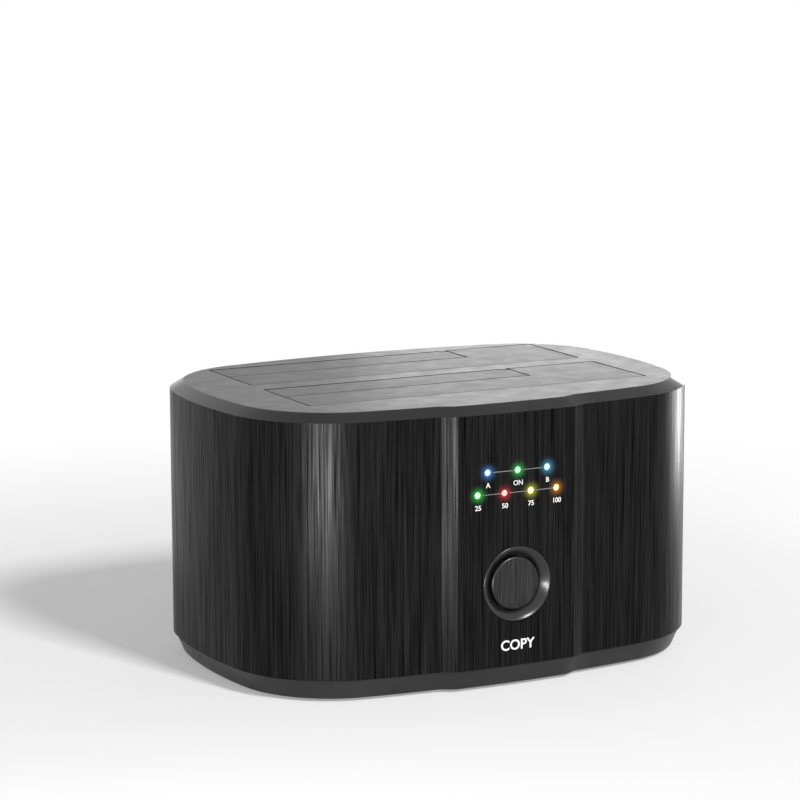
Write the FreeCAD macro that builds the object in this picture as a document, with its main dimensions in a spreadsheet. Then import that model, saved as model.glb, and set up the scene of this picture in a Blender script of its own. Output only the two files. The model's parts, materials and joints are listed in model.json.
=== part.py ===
import FreeCAD, Part
import math
import os
import re
import Sketcher
from FreeCAD import Placement, Rotation, Vector

# Two-bay drive dock and duplicator, millimetres, +Z up, +X to the right of the front, -Y is the front.
# The origin is the middle of the footprint at the level the rubber feet stand on.

DRIVING_SIZES = [
    # overall body
    ("end_room", 18.0, "from the ends of the bays to the rounded ends, less the bays' offset"),
    ("front_room", 20.9, "from the front of the oval wall to the front bay"),
    ("back_room", 12.0, "from the rear bay to the back of the oval wall"),
    ("body_height", 77.4, "floor to top plane"),
    ("front_bow_radius", 280.0, "plan radius of the long front and back walls"),
    ("side_bow_radius", 132.0, "plan radius of the ends"),
    ("corner_radius", 31.0, "plan radius of the rounded corners"),
    ("pad_proud", 1.8, "how far the middle pad of the front stands out"),
    ("pad_half_width", 17.75, "half width of the pad's face"),
    ("pad_step_run", 3.85, "width of the sloping step beside the pad"),
    ("chamfer_inset", 3.7, "width of the glossy chamfer of the top, in plan"),
    ("chamfer_height", 2.2, "height of that chamfer and thickness of the cover plate"),
    ("shell_wall", 2.2, "wall of the outer sleeve"),
    ("fit_gap", 0.15, "clearance between moulded parts that plug together"),
    ("lip_wall", 1.6, "wall of the lips that plug into the sleeve"),
    ("lip_height", 2.0, "height of those lips"),
    # base
    ("foot_standoff", 0.8, "height of the underside above the floor"),
    ("skirt_top", 6.4, "level where the base skirt meets the sleeve"),
    ("skirt_inset_top", 0.5, "set-back of the skirt under the sleeve"),
    ("skirt_inset_bottom", 2.9, "set-back of the skirt at the underside"),
    ("base_floor", 2.0, "thickness of the base floor"),
    ("foot_radius", 5.0, "rubber foot"),
    ("foot_recess", 1.0, "depth of the recess that holds a foot"),
    ("vent_pitch", 8.0, "slots in the base floor"),
    ("vent_width", 2.5, "slots in the base floor"),
    ("vent_length", 24.0, "slots in the base floor"),
    ("vent_corner", 0.7, "cut corners of those slots"),
    ("foot_from_end", 24.0, "middle of a foot from the rounded end"),
    ("foot_from_front", 21.7, "middle of a foot from the front or back wall"),
    # drive bays
    ("bay_width", 104.0, "opening for a 101.6 mm wide drive"),
    ("bay_depth", 29.5, "opening for a 26.1 mm thick drive and the folded flaps"),
    ("bay_offset", 1.7, "bays sit a little to the right of the middle"),
    ("bay_gap", 7.5, "web of the cover between the two bays"),
    ("bay_corner", 0.5, "cut corners of the openings"),
    ("drive_seat_z", 19.4, "level of the floor a drive stands on"),
    ("collar_drop", 3.4, "depth of the collars under the cover"),
    ("collar_side", 3.2, "wall of the collars beside the bays, which holds the pins"),
    ("collar_wall", 1.2, "wall of the collars in front of the knuckles"),
    ("well_recess", 0.3, "side and back walls of a well stand this far outside the opening"),
    ("well_front_recess", 0.9, "the front wall stands further out, behind the folded large flap"),
    ("well_wall", 1.5, "wall of the wells"),
    ("well_floor", 2.0, "floor of the wells"),
    ("well_corner", 3.4, "cut outer corners of the wells and collars"),
    ("well_inner_corner", 0.9, "cut inner corners of the wells, clear of the folded flaps"),
    ("ear_half_depth", 3.4, "half depth of the lugs that hang a well from the cover"),
    # flaps
    ("flap_thickness", 1.5, "plate of the flaps"),
    ("flap_gap", 0.5, "gap round the flaps"),
    ("hinge_gap", 0.3, "gap behind the small flap's rounded hinge edge and over the knuckles"),
    ("hinge_setback", 2.9, "large flap's axis lies this far under the rim in front of the opening"),
    ("barrel_radius", 1.35, "knuckles of the large flap"),
    ("arm_width", 8.0, "arms that carry the knuckles"),
    ("arm_inset", 10.0, "outer arms from the bay's ends"),
    ("arm_thickness", 1.4, "arms"),
    ("pin_radius", 0.75, "hinge pin of the large flap"),
    ("small_pin_radius", 0.4, "wire that the small flap turns on"),
    ("pin_clearance", 0.06, "radial running clearance on the pins"),
    ("pin_fit", 0.02, "pins in their seats in the collars"),
    ("pin_seat", 2.6, "length of pin held in the collar"),
    ("small_flap_width", 72.4, "lets a 69.85 mm wide drive in"),
    ("small_flap_depth", 12.6, "lets a drive up to 9.5 mm thick in"),
    ("ear_width", 2.2, "hinge ear between the two flaps"),
    ("spring_wire_radius", 0.2, "torsion spring wire"),
    ("spring_coil_radius", 1.1, "mean radius of the torsion spring"),
    ("spring_pitch", 0.9, "pitch of the torsion spring"),
    ("spring_turns", 4.0, "turns of the torsion spring"),
    ("spring_sides", 8.0, "straight lengths of wire in a turn"),
    ("spring_leg_seat", 1.1, "depth of the hole that holds the spring's fixed leg"),
    ("spring_side_gap", 0.5, "coil beside the middle knuckle"),
    ("spring_reach", 9.5, "leg under the flap"),
    # sata receptacles
    ("sata_from_bay_edge", 31.3, "receptacle's middle from the bay's left edge"),
    ("sata_from_bay_back", 5.5, "receptacle's middle from the bay's back edge"),
    ("sata_length", 42.7, "receptacle housing"),
    ("sata_thickness", 5.8, "receptacle housing"),
    ("sata_height", 9.4, "receptacle housing above the board"),
    ("sata_slot", 2.4, "width of the tongue slots"),
    ("sata_signal_slot", 11.6, "length of the seven-way slot"),
    ("sata_power_slot", 21.9, "length of the fifteen-way slot"),
    ("sata_slot_bridge", 2.6, "bridge between the two slots"),
    ("sata_slot_drop", 7.4, "depth of the slots"),
    ("sata_pitch", 1.27, "pitch of the contacts"),
    ("sata_key", 1.3, "width of the keys of the slots"),
    ("sata_key_depth", 0.9, "depth of the keys of the slots"),
    ("sata_blade_width", 0.6, "contact"),
    ("sata_blade_depth", 0.45, "contact"),
    ("sata_blade_drop", 1.2, "ends of the contacts under the mouth of the slots"),
    # boards
    ("board_thickness", 1.6, "both circuit boards"),
    ("board_under_z", 14.0, "underside of the main board"),
    ("board_inside_bays", 3.0, "ends of the main board inside the ends of the bays"),
    ("board_front_step", 6.6, "wide part of the main board behind the front of the bays"),
    ("board_back_step", 0.1, "wide part of the main board behind the back of the bays"),
    ("board_tongue_half", 15.0, "front tongue of the main board"),
    ("standoff_from_end", 8.0, "board screws from the ends of the board"),
    ("standoff_front", 12.6, "front board screws behind the front of the bays"),
    ("standoff_back", 16.9, "back board screws in front of the back of the bays"),
    ("front_board_depth", 9.2, "back face of the upright board behind the pad's face"),
    ("front_board_half_width", 16.0, "upright board"),
    ("front_board_bottom", 12.0, "upright board"),
    ("front_board_top", 65.0, "upright board"),
    ("front_screw_x", 13.0, "screws of the upright board"),
    ("front_screw_z", 44.0, "screws of the upright board"),
    # larger parts on the main board
    ("header_length", 12.7, "strip that joins the two boards"),
    ("header_depth", 2.5, "strip that joins the two boards"),
    ("chip_beside_socket", 1.65, "gap between the front receptacle and the controller chip"),
    ("chip_from_bay_back", 7.9, "middle of the controller chip from the front bay's back"),
    ("chip_size", 14.0, "controller chip"),
    ("chip_height", 1.2, "controller chip"),
    ("can_spacing", 19.0, "between the two capacitors"),
    ("can_radius", 3.15, "capacitors"),
    ("can_height", 7.7, "capacitors"),
    ("choke_size", 6.0, "choke"),
    ("choke_height", 3.0, "choke"),
    # button
    ("button_z", 28.65, "middle of the copy button"),
    ("ring_radius", 10.3, "outer radius of the dished ring"),
    ("ring_bore", 7.55, "inner radius of the ring"),
    ("ring_lip", 0.5, "flat lip round the dish"),
    ("ring_dish", 2.2, "depth of the dish"),
    ("ring_tube", 1.3, "straight bore behind the dish"),
    ("ring_flange", 1.4, "flange behind the wall beyond the ring's outer radius"),
    ("button_radius", 7.2, "copy button"),
    ("button_recess", 1.1, "set-back of the button's face from the pad"),
    ("button_travel", 1.0, "stroke of the copy button"),
    ("button_wall", 1.4, "wall of the copy button"),
    ("button_edge", 0.7, "rounded edge of the copy button's face"),
    ("button_keep", 0.9, "flange of the copy button beyond the ring's bore"),
    ("tact_size", 6.0, "case of the push switch"),
    ("tact_stem_radius", 1.7, "stem of the push switch"),
    ("tact_stem_length", 0.6, "stem of the push switch"),
    ("button_flange", 1.0, "thickness of the flange that keeps the button in"),
    # indicator row
    ("led_upper_z", 59.6, "upper row of lights"),
    ("led_lower_z", 53.7, "lower row of lights"),
    ("led_upper_pitch", 9.0, "three lights"),
    ("led_lower_pitch", 7.95, "four lights"),
    ("led_radius", 0.95, "lens of a light"),
    ("led_clearance", 0.12, "hole round a lens"),
    ("led_dome", 0.35, "domed end of a lens"),
    ("led_lamp", 1.2, "depth of the lamp behind a lens"),
    ("led_lamp_rim", 0.35, "lamp beyond the lens"),
    # ports at the back
    ("panel_half_width", 34.0, "port panel of the base"),
    ("panel_top", 17.2, "top of the port panel"),
    ("usb_x", 22.0, "middle of the data socket"),
    ("usb_width", 12.1, "shell of the data socket"),
    ("usb_height", 12.4, "shell of the data socket"),
    ("usb_length", 17.0, "shell of the data socket"),
    ("usb_bottom", 3.3, "level of the shell's underside"),
    ("usb_wall", 0.4, "sheet of the shell"),
    ("usb_corner", 2.0, "sloped upper corners of the shell"),
    ("usb_plug_room", 9.0, "depth a plug goes in"),
    ("usb_tongue_half", 2.8, "half width of the tongue"),
    ("usb_tongue_low", 3.6, "underside of the tongue above the shell's underside"),
    ("usb_tongue_thickness", 3.2, "tongue"),
    ("jack_x", 0.0, "middle of the power socket"),
    ("jack_width", 9.0, "body of the power socket"),
    ("jack_height", 10.8, "body of the power socket"),
    ("jack_length", 14.0, "body of the power socket"),
    ("jack_bore", 3.15, "bore radius of the power socket"),
    ("jack_bore_depth", 9.5, "bore of the power socket"),
    ("jack_pin_radius", 1.05, "centre pin of the power socket"),
    ("jack_nose_wall", 0.6, "wall of the round nose of the power socket"),
    ("switch_x", -21.0, "middle of the power switch"),
    ("switch_width", 15.0, "bezel of the power switch"),
    ("switch_height", 10.4, "bezel of the power switch"),
    ("switch_z", 9.0, "middle of the power switch"),
    ("switch_depth", 12.0, "case of the power switch"),
    ("switch_rim", 1.0, "bezel beyond the case"),
    ("switch_wall", 0.7, "wall of the case"),
    ("switch_room", 7.5, "depth of the case's hollow"),
    ("rocker_tilt", 9.0, "tilt of the rocker in either position, degrees"),
    ("rocker_gap", 0.4, "clearance round the rocker"),
    ("rocker_thickness", 4.2, "rocker from its back to its raised ends"),
    ("rocker_behind", 1.6, "rocker's back behind its axis"),
    ("rocker_hollow", 0.9, "dip in the middle of the rocker's face"),
    ("rocker_proud", 1.4, "raised end of the rocker beyond the back of the oval"),
    ("port_gap", 0.2, "clearance round the ports in the panel"),
    # screws
    ("tower_from_end", 8.5, "screw towers of the cover from the rounded ends"),
    ("tower_front_step", 7.65, "front towers in front of the front bay's middle"),
    ("tower_back_step", 13.15, "back towers in front of the rear bay's middle"),
    ("tower_radius", 3.0, "screw towers"),
    ("tower_foot_z", 12.0, "where towers stand on the bosses of the base"),
    ("case_screw_radius", 1.45, "case screws"),
    ("case_screw_head", 2.6, "head radius of the case screws"),
    ("case_screw_length", 17.0, "case screws under the head"),
    ("case_head_height", 2.0, "head of the case screws"),
    ("case_head_sink", 4.0, "depth of the sinks for those heads"),
    ("small_screw_radius", 1.1, "board and well screws"),
    ("small_screw_head", 2.1, "head radius of the board and well screws"),
    ("small_screw_length", 4.2, "board and well screws under the head"),
    ("small_head_height", 1.4, "head of the board and well screws"),
    ("screw_clearance", 0.05, "radial clearance of screws in their holes"),
]

doc = FreeCAD.newDocument("drive_duplicator")
sheet = doc.addObject("Spreadsheet::Sheet", "Sizes")
for row, (alias, number, note) in enumerate(DRIVING_SIZES, start=1):
    sheet.set(f"A{row}", alias)
    sheet.set(f"B{row}", str(number))
    sheet.setAlias(f"B{row}", alias)
    sheet.set(f"C{row}", note)
doc.recompute()

ALIASES = {alias for alias, number, note in DRIVING_SIZES}
WORD = re.compile(r"[a-z][a-z0-9_]*")

# Places that several pieces share, written as formulas of the driving sizes.
COVER_UNDER = "(body_height - chamfer_height)"
COLLAR_FOOT = "(body_height - chamfer_height - collar_drop)"
BODY_WIDTH = "(bay_width + 2 * end_room)"
BODY_DEPTH = "(2 * bay_depth + bay_gap + front_room + back_room)"
BODY_Y = "((pad_proud - rocker_proud) / 2)"
BAY_LEFT = "(bay_offset - bay_width / 2)"
BAY_RIGHT = "(bay_offset + bay_width / 2)"
LARGE_AXIS_Z = f"({COVER_UNDER} - hinge_gap - barrel_radius)"
SMALL_AXIS_Z = "(body_height - flap_thickness / 2)"
HINGE_ROOM = "(hinge_setback + barrel_radius + hinge_gap)"
BOARD_TOP = "(board_under_z + board_thickness)"
FLOOR_TOP = "(foot_standoff + base_floor)"
PAD_FACE = f"({BODY_Y} - {BODY_DEPTH} / 2 - pad_proud)"
BACK_FACE = f"({BODY_Y} + {BODY_DEPTH} / 2)"
BAYS_MIDDLE = f"({BODY_Y} + (front_room - back_room) / 2)"
STEP_SHIFT = "tan(atan(pad_proud / pad_step_run) / 2)"
FRONT_BOARD_BACK = f"({PAD_FACE} + front_board_depth)"
FRONT_BOARD_FACE = f"({FRONT_BOARD_BACK} - board_thickness)"
BAYS = {
    "front": (f"({BAYS_MIDDLE} - bay_gap / 2 - bay_depth)", f"({BAYS_MIDDLE} - bay_gap / 2)"),
    "rear": (f"({BAYS_MIDDLE} + bay_gap / 2)", f"({BAYS_MIDDLE} + bay_gap / 2 + bay_depth)"),
}
BAY_MIDDLES = {bay: f"(({front} + {back}) / 2)" for bay, (front, back) in BAYS.items()}
BOARD_END = "(bay_width / 2 - board_inside_bays)"
WELL_FACE = f"({BAYS['front'][0]} - well_front_recess - well_wall)"


def four_places(half, front, back):
    """Two places on each side of the middle."""
    return [(f"{way} * {half}", y) for y in (front, back) for way in (-1, 1)]


TOWERS = four_places(f"({BODY_WIDTH} / 2 - tower_from_end)", f"({BAY_MIDDLES['front']} - tower_front_step)",
                     f"({BAY_MIDDLES['rear']} - tower_back_step)")
STANDOFFS = four_places(f"({BOARD_END} - standoff_from_end)", f"({BAYS['front'][0]} + standoff_front)",
                        f"({BAYS['rear'][1]} - standoff_back)")
FEET = four_places(f"({BODY_WIDTH} / 2 - foot_from_end)", f"(foot_from_front - {BODY_DEPTH} / 2)",
                   f"({BODY_DEPTH} / 2 - foot_from_front)")
LIGHTS = [
    ("drive_a_led", "-led_upper_pitch", "led_upper_z"),
    ("power_led", "0", "led_upper_z"),
    ("drive_b_led", "led_upper_pitch", "led_upper_z"),
    ("progress_25_led", "-1.5 * led_lower_pitch", "led_lower_z"),
    ("progress_50_led", "-0.5 * led_lower_pitch", "led_lower_z"),
    ("progress_75_led", "0.5 * led_lower_pitch", "led_lower_z"),
    ("progress_100_led", "1.5 * led_lower_pitch", "led_lower_z"),
]
NODES = []


def linked(formula):
    """The formula with every size written as a reference to the sheet."""
    return WORD.sub(lambda word: f"Sizes.{word[0]}" if word[0] in ALIASES else word[0], str(formula))


def size(formula):
    """The present value of a formula of sizes."""
    return float(sheet.evalExpression(linked(formula)))


def bind(item, **formulas):
    """Binds properties of an object to formulas of the sheet."""
    for name, formula in formulas.items():
        item.setExpression(name.replace("__", "."), linked(formula))


def node(item, label):
    """Marks an object as a sub-part of its own."""
    item.Label = label
    NODES.append(item)
    return item


def new_body(label):
    return node(doc.addObject("PartDesign::Body", label + "_body"), label)


def origin_plane(body, role):
    return next(plane for plane in body.Origin.OriginFeatures if plane.Role == role)


def sketch_on(body, role, name, across="0", up="0", out="0"):
    """A sketch on an origin plane, moved by formulas along its own axes."""
    sketch = body.newObject("Sketcher::SketchObject", name)
    sketch.AttachmentSupport = [(origin_plane(body, role), "")]
    sketch.MapMode = "FlatFace"
    bind(sketch, AttachmentOffset__Base__x=across, AttachmentOffset__Base__y=up)
    bind(sketch, AttachmentOffset__Base__z=out)
    return sketch


def hold(sketch, name, formula, *constraint):
    """Adds a dimension and binds it, by its name or by its place in the list."""
    index = sketch.addConstraint(Sketcher.Constraint(*constraint, size(formula)))
    if name:
        sketch.renameConstraint(index, name)
        sketch.setExpression(f"Constraints.{name}", linked(formula))
    else:
        sketch.setExpression(f"Constraints[{index}]", linked(formula))


def polygon(sketch, name, corners):
    """A closed outline of straight lines through corners given as formulas."""
    points = [Vector(size(x), size(y), 0) for x, y in corners]
    lines = []
    for start, end in zip(points, points[1:] + points[:1]):
        lines.append(sketch.addGeometry(Part.LineSegment(start, end), False))
    for line, following in zip(lines, lines[1:] + lines[:1]):
        sketch.addConstraint(Sketcher.Constraint("Coincident", line, 2, following, 1))
    for index, (line, (x, y)) in enumerate(zip(lines, corners)):
        hold(sketch, name and f"{name}_x{index}", x, "DistanceX", -1, 1, line, 1)
        hold(sketch, name and f"{name}_y{index}", y, "DistanceY", -1, 1, line, 1)
    return lines


def rectangle(sketch, name, left, right, low, high):
    return polygon(sketch, name, [(left, low), (right, low), (right, high), (left, high)])


def circle(sketch, name, x, y, radius):
    disc = Part.Circle(Vector(size(x), size(y), 0), Vector(0, 0, 1), size(radius))
    index = sketch.addGeometry(disc, False)
    hold(sketch, f"{name}_r", radius, "Radius", index)
    hold(sketch, f"{name}_x", x, "DistanceX", -1, 1, index, 3)
    hold(sketch, f"{name}_y", y, "DistanceY", -1, 1, index, 3)
    return index


def many_sided(sketch, x, y, radius, sides=8):
    """A regular outline whose corners lie on the radius."""
    corners = []
    for index in range(sides):
        turn = 360 * index / sides
        corners.append((f"({x}) + ({radius}) * cos({turn})", f"({y}) + ({radius}) * sin({turn})"))
    polygon(sketch, "", corners)


def cut_rectangle(sketch, name, left, right, low, high, cut):
    """A rectangle whose corners are cut off."""
    corners = []
    inwards = ((left, low, 1, 1), (right, low, -1, 1), (right, high, -1, -1), (left, high, 1, -1))
    for x, y, across, along in inwards:
        ends = [(x, f"{y} + {along} * {cut}"), (f"{x} + {across} * {cut}", y)]
        corners += ends if across * along > 0 else ends[::-1]
    polygon(sketch, name, corners)


def circle_meeting(first_centre, first_reach, second_centre, second_reach):
    """The point right of the middle at the two given distances, on the front side."""
    gap = (second_centre - first_centre).Length
    along = (first_reach ** 2 - second_reach ** 2 + gap ** 2) / (2 * gap)
    aside = math.sqrt(first_reach ** 2 - along ** 2)
    ahead = (second_centre - first_centre).normalize()
    return first_centre + ahead * along + Vector(-ahead.y, ahead.x, 0) * aside


def angle_of(point, centre):
    return math.atan2(point.y - centre.y, point.x - centre.x)


def body_outline(sketch, name, inset):
    """The oval plan of the body with its front pad, moved inwards everywhere by the inset."""
    d = size(inset)
    half_width = size(f"{BODY_WIDTH} / 2")
    half_depth = size(f"{BODY_DEPTH} / 2")
    bow = size("front_bow_radius")
    end = size("side_bow_radius")
    corner = size("corner_radius")
    pad_x = size(f"pad_half_width - ({inset}) * {STEP_SHIFT}")
    step_x = size(f"pad_half_width + pad_step_run - ({inset}) * {STEP_SHIFT}")
    pad_bow = bow + size("pad_proud")
    front_centre = Vector(0, bow - half_depth, 0)
    back_centre = -front_centre
    right_centre = Vector(half_width - end, 0, 0)
    left_centre = -right_centre
    corner_fr = circle_meeting(front_centre, bow - corner, right_centre, end - corner)
    corner_br = Vector(corner_fr.x, -corner_fr.y, 0)
    corner_bl = -corner_fr
    corner_fl = -corner_br

    def arc(centre, radius, start, stop):
        if stop < start:
            stop += 2 * math.pi
        shape = Part.ArcOfCircle(Part.Circle(centre, Vector(0, 0, 1), radius), start, stop)
        return sketch.addGeometry(shape, False)

    def lean(x, radius):
        return -math.pi / 2 + math.asin(x / radius)

    front_end = angle_of(corner_fr, front_centre)
    right_end = angle_of(corner_br, right_centre)
    step_top = front_centre.y - math.sqrt((bow - d) ** 2 - step_x ** 2)
    pad_top = front_centre.y - math.sqrt((pad_bow - d) ** 2 - pad_x ** 2)
    front_left = arc(front_centre, bow - d, -math.pi - front_end, lean(-step_x, bow - d))
    step_in = sketch.addGeometry(
        Part.LineSegment(Vector(-step_x, step_top, 0), Vector(-pad_x, pad_top, 0)), False)
    pad_face = arc(front_centre, pad_bow - d, lean(-pad_x, pad_bow - d), lean(pad_x, pad_bow - d))
    step_out = sketch.addGeometry(
        Part.LineSegment(Vector(pad_x, pad_top, 0), Vector(step_x, step_top, 0)), False)
    front_right = arc(front_centre, bow - d, lean(step_x, bow - d), front_end)
    turn_fr = arc(corner_fr, corner - d, front_end, -right_end)
    right = arc(right_centre, end - d, -right_end, right_end)
    turn_br = arc(corner_br, corner - d, right_end, -front_end)
    back = arc(back_centre, bow - d, -front_end, math.pi + front_end)
    turn_bl = arc(corner_bl, corner - d, math.pi + front_end, math.pi - right_end)
    left = arc(left_centre, end - d, math.pi - right_end, math.pi + right_end)
    turn_fl = arc(corner_fl, corner - d, math.pi + right_end, math.pi - front_end)

    loop = [front_left, step_in, pad_face, step_out, front_right, turn_fr, right, turn_br, back,
            turn_bl, left, turn_fl]
    smooth_from = loop.index(front_right)
    for index, item in enumerate(loop):
        joint = "Tangent" if index >= smooth_from else "Coincident"
        following = loop[(index + 1) % len(loop)]
        sketch.addConstraint(Sketcher.Constraint(joint, item, 2, following, 1))
    for same in (pad_face, front_right):
        sketch.addConstraint(Sketcher.Constraint("Coincident", front_left, 3, same, 3))
    hold(sketch, f"{name}_front_x", "0", "DistanceX", -1, 1, front_left, 3)
    hold(sketch, f"{name}_front_y", f"front_bow_radius - {BODY_DEPTH} / 2", "DistanceY", -1, 1, front_left, 3)
    hold(sketch, f"{name}_back_x", "0", "DistanceX", -1, 1, back, 3)
    hold(sketch, f"{name}_back_y", f"{BODY_DEPTH} / 2 - front_bow_radius", "DistanceY", -1, 1, back, 3)
    hold(sketch, f"{name}_right_x", f"{BODY_WIDTH} / 2 - side_bow_radius", "DistanceX", -1, 1, right, 3)
    hold(sketch, f"{name}_right_y", "0", "DistanceY", -1, 1, right, 3)
    hold(sketch, f"{name}_left_x", f"side_bow_radius - {BODY_WIDTH} / 2", "DistanceX", -1, 1, left, 3)
    hold(sketch, f"{name}_left_y", "0", "DistanceY", -1, 1, left, 3)
    for key, item in (("front_left", front_left), ("front_right", front_right), ("back", back)):
        hold(sketch, f"{name}_{key}_r", f"front_bow_radius - ({inset})", "Radius", item)
    hold(sketch, f"{name}_pad_r", f"front_bow_radius + pad_proud - ({inset})", "Radius", pad_face)
    for key, item in (("right", right), ("left", left)):
        hold(sketch, f"{name}_{key}_r", f"side_bow_radius - ({inset})", "Radius", item)
    for key, item in (("fr", turn_fr), ("br", turn_br), ("bl", turn_bl), ("fl", turn_fl)):
        hold(sketch, f"{name}_{key}_r", f"corner_radius - ({inset})", "Radius", item)
    inner_pad = f"pad_half_width - ({inset}) * {STEP_SHIFT}"
    inner_step = f"pad_half_width + pad_step_run - ({inset}) * {STEP_SHIFT}"
    hold(sketch, f"{name}_pad_left", f"-({inner_pad})", "DistanceX", -1, 1, pad_face, 1)
    hold(sketch, f"{name}_pad_right", inner_pad, "DistanceX", -1, 1, pad_face, 2)
    hold(sketch, f"{name}_step_left", f"-({inner_step})", "DistanceX", -1, 1, front_left, 2)
    hold(sketch, f"{name}_step_right", inner_step, "DistanceX", -1, 1, front_right, 1)


def pad(body, sketch, name, length, backwards=False):
    """Adds material along the sketch's normal, or against it."""
    feature = body.newObject("PartDesign::Pad", name)
    feature.Profile = sketch
    feature.Reversed = backwards
    bind(feature, Length=length)
    sketch.Visibility = False
    return feature


def pocket(body, sketch, name, length, with_normal=False):
    """Cuts against the sketch's normal, or along it."""
    feature = body.newObject("PartDesign::Pocket", name)
    feature.Profile = sketch
    feature.Reversed = with_normal
    bind(feature, Length=length)
    sketch.Visibility = False
    return feature


def revolve(body, sketch, name):
    """Turns a profile round the sketch's own horizontal axis."""
    feature = body.newObject("PartDesign::Revolution", name)
    feature.Profile = sketch
    feature.ReferenceAxis = (sketch, ["H_Axis"])
    feature.Angle = 360
    sketch.Visibility = False
    return feature


def loft(body, sections, name):
    feature = body.newObject("PartDesign::AdditiveLoft", name)
    feature.Profile = sections[0]
    feature.Sections = sections[1:]
    feature.Ruled = True
    return feature


def outline_at(body, name, level, *insets):
    """A level sketch of the body's plan, once for each inset."""
    sketch = sketch_on(body, "XY_Plane", name, up=BODY_Y, out=level)
    for index, inset in enumerate(insets):
        body_outline(sketch, f"ring{index}", inset)
    return sketch


def posts_at(body, name, level, places, radius, sides=8):
    """Hidden posts and holes have flat sides."""
    sketch = sketch_on(body, "XY_Plane", name, out=level)
    for index, (x, y) in enumerate(places):
        many_sided(sketch, x, y, radius, sides)
    return sketch


def upright(body, name, y):
    """A sketch facing the front at the depth y; its axes are X and Z."""
    return sketch_on(body, "XZ_Plane", name, out=f"-({y})")


def sideways(body, name, x, y="0", z="0"):
    """A sketch facing the right at x; its axes are Y and Z, from the point given."""
    return sketch_on(body, "YZ_Plane", name, across=y, up=z, out=x)


def box(name, left, right, front, back, low, high):
    block = doc.addObject("Part::Box", name)
    bind(block, Length=f"({right}) - ({left})", Width=f"({back}) - ({front})", Height=f"({high}) - ({low})")
    bind(block, Placement__Base__x=left, Placement__Base__y=front, Placement__Base__z=low)
    return block


def prism(name, x, y, low, high, radius, sides=8):
    """An upright rod with flat sides; the radius is that of its corners."""
    rod = doc.addObject("Part::Prism", name)
    rod.Polygon = sides
    bind(rod, Circumradius=radius, Height=f"({high}) - ({low})")
    bind(rod, Placement__Base__x=x, Placement__Base__y=y, Placement__Base__z=low)
    return rod


def fused(name, pieces):
    union = doc.addObject("Part::MultiFuse", name)
    union.Shapes = pieces
    return union


def grouped(label, pieces):
    """Separate solids that share one node."""
    group = doc.addObject("Part::Compound", label + "_group")
    group.Links = pieces
    return node(group, label)


def well_ears():
    """Places of the screws that hang the wells from the cover, two to each bay."""
    reach = "(well_recess + well_wall + small_screw_head + 0.9)"
    places = []
    for middle in BAY_MIDDLES.values():
        places.append((f"{BAY_LEFT} - {reach}", middle))
        places.append((f"{BAY_RIGHT} + {reach}", middle))
    return places


EARS = well_ears()
SMALL_RIGHT = f"({BAY_LEFT} + flap_gap + small_flap_width)"
EAR_LEFT = f"({SMALL_RIGHT} + hinge_gap)"
EAR_RIGHT = f"({EAR_LEFT} + ear_width)"
ARMS = [f"({BAY_LEFT} + arm_inset)", "bay_offset", f"({BAY_RIGHT} - arm_inset)"]
SPRING_X = "(bay_offset + arm_width / 2 + spring_side_gap + spring_pitch * spring_turns / 2)"


def hinge_axis(bay, flap):
    """Depth and level of a flap's axis."""
    front, back = BAYS[bay]
    if flap == "large":
        return f"({front} - hinge_setback)", LARGE_AXIS_Z
    return f"({back} - hinge_gap - flap_thickness / 2)", SMALL_AXIS_Z


def pin_size(flap):
    return "pin_radius" if flap == "large" else "small_pin_radius"


def hinge_span(flap):
    """Left and right ends of a flap's pin."""
    left = f"({BAY_LEFT} - pin_seat)"
    if flap == "large":
        return left, f"({BAY_RIGHT} + pin_seat)"
    return left, f"({EAR_RIGHT} - 0.5)"


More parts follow.
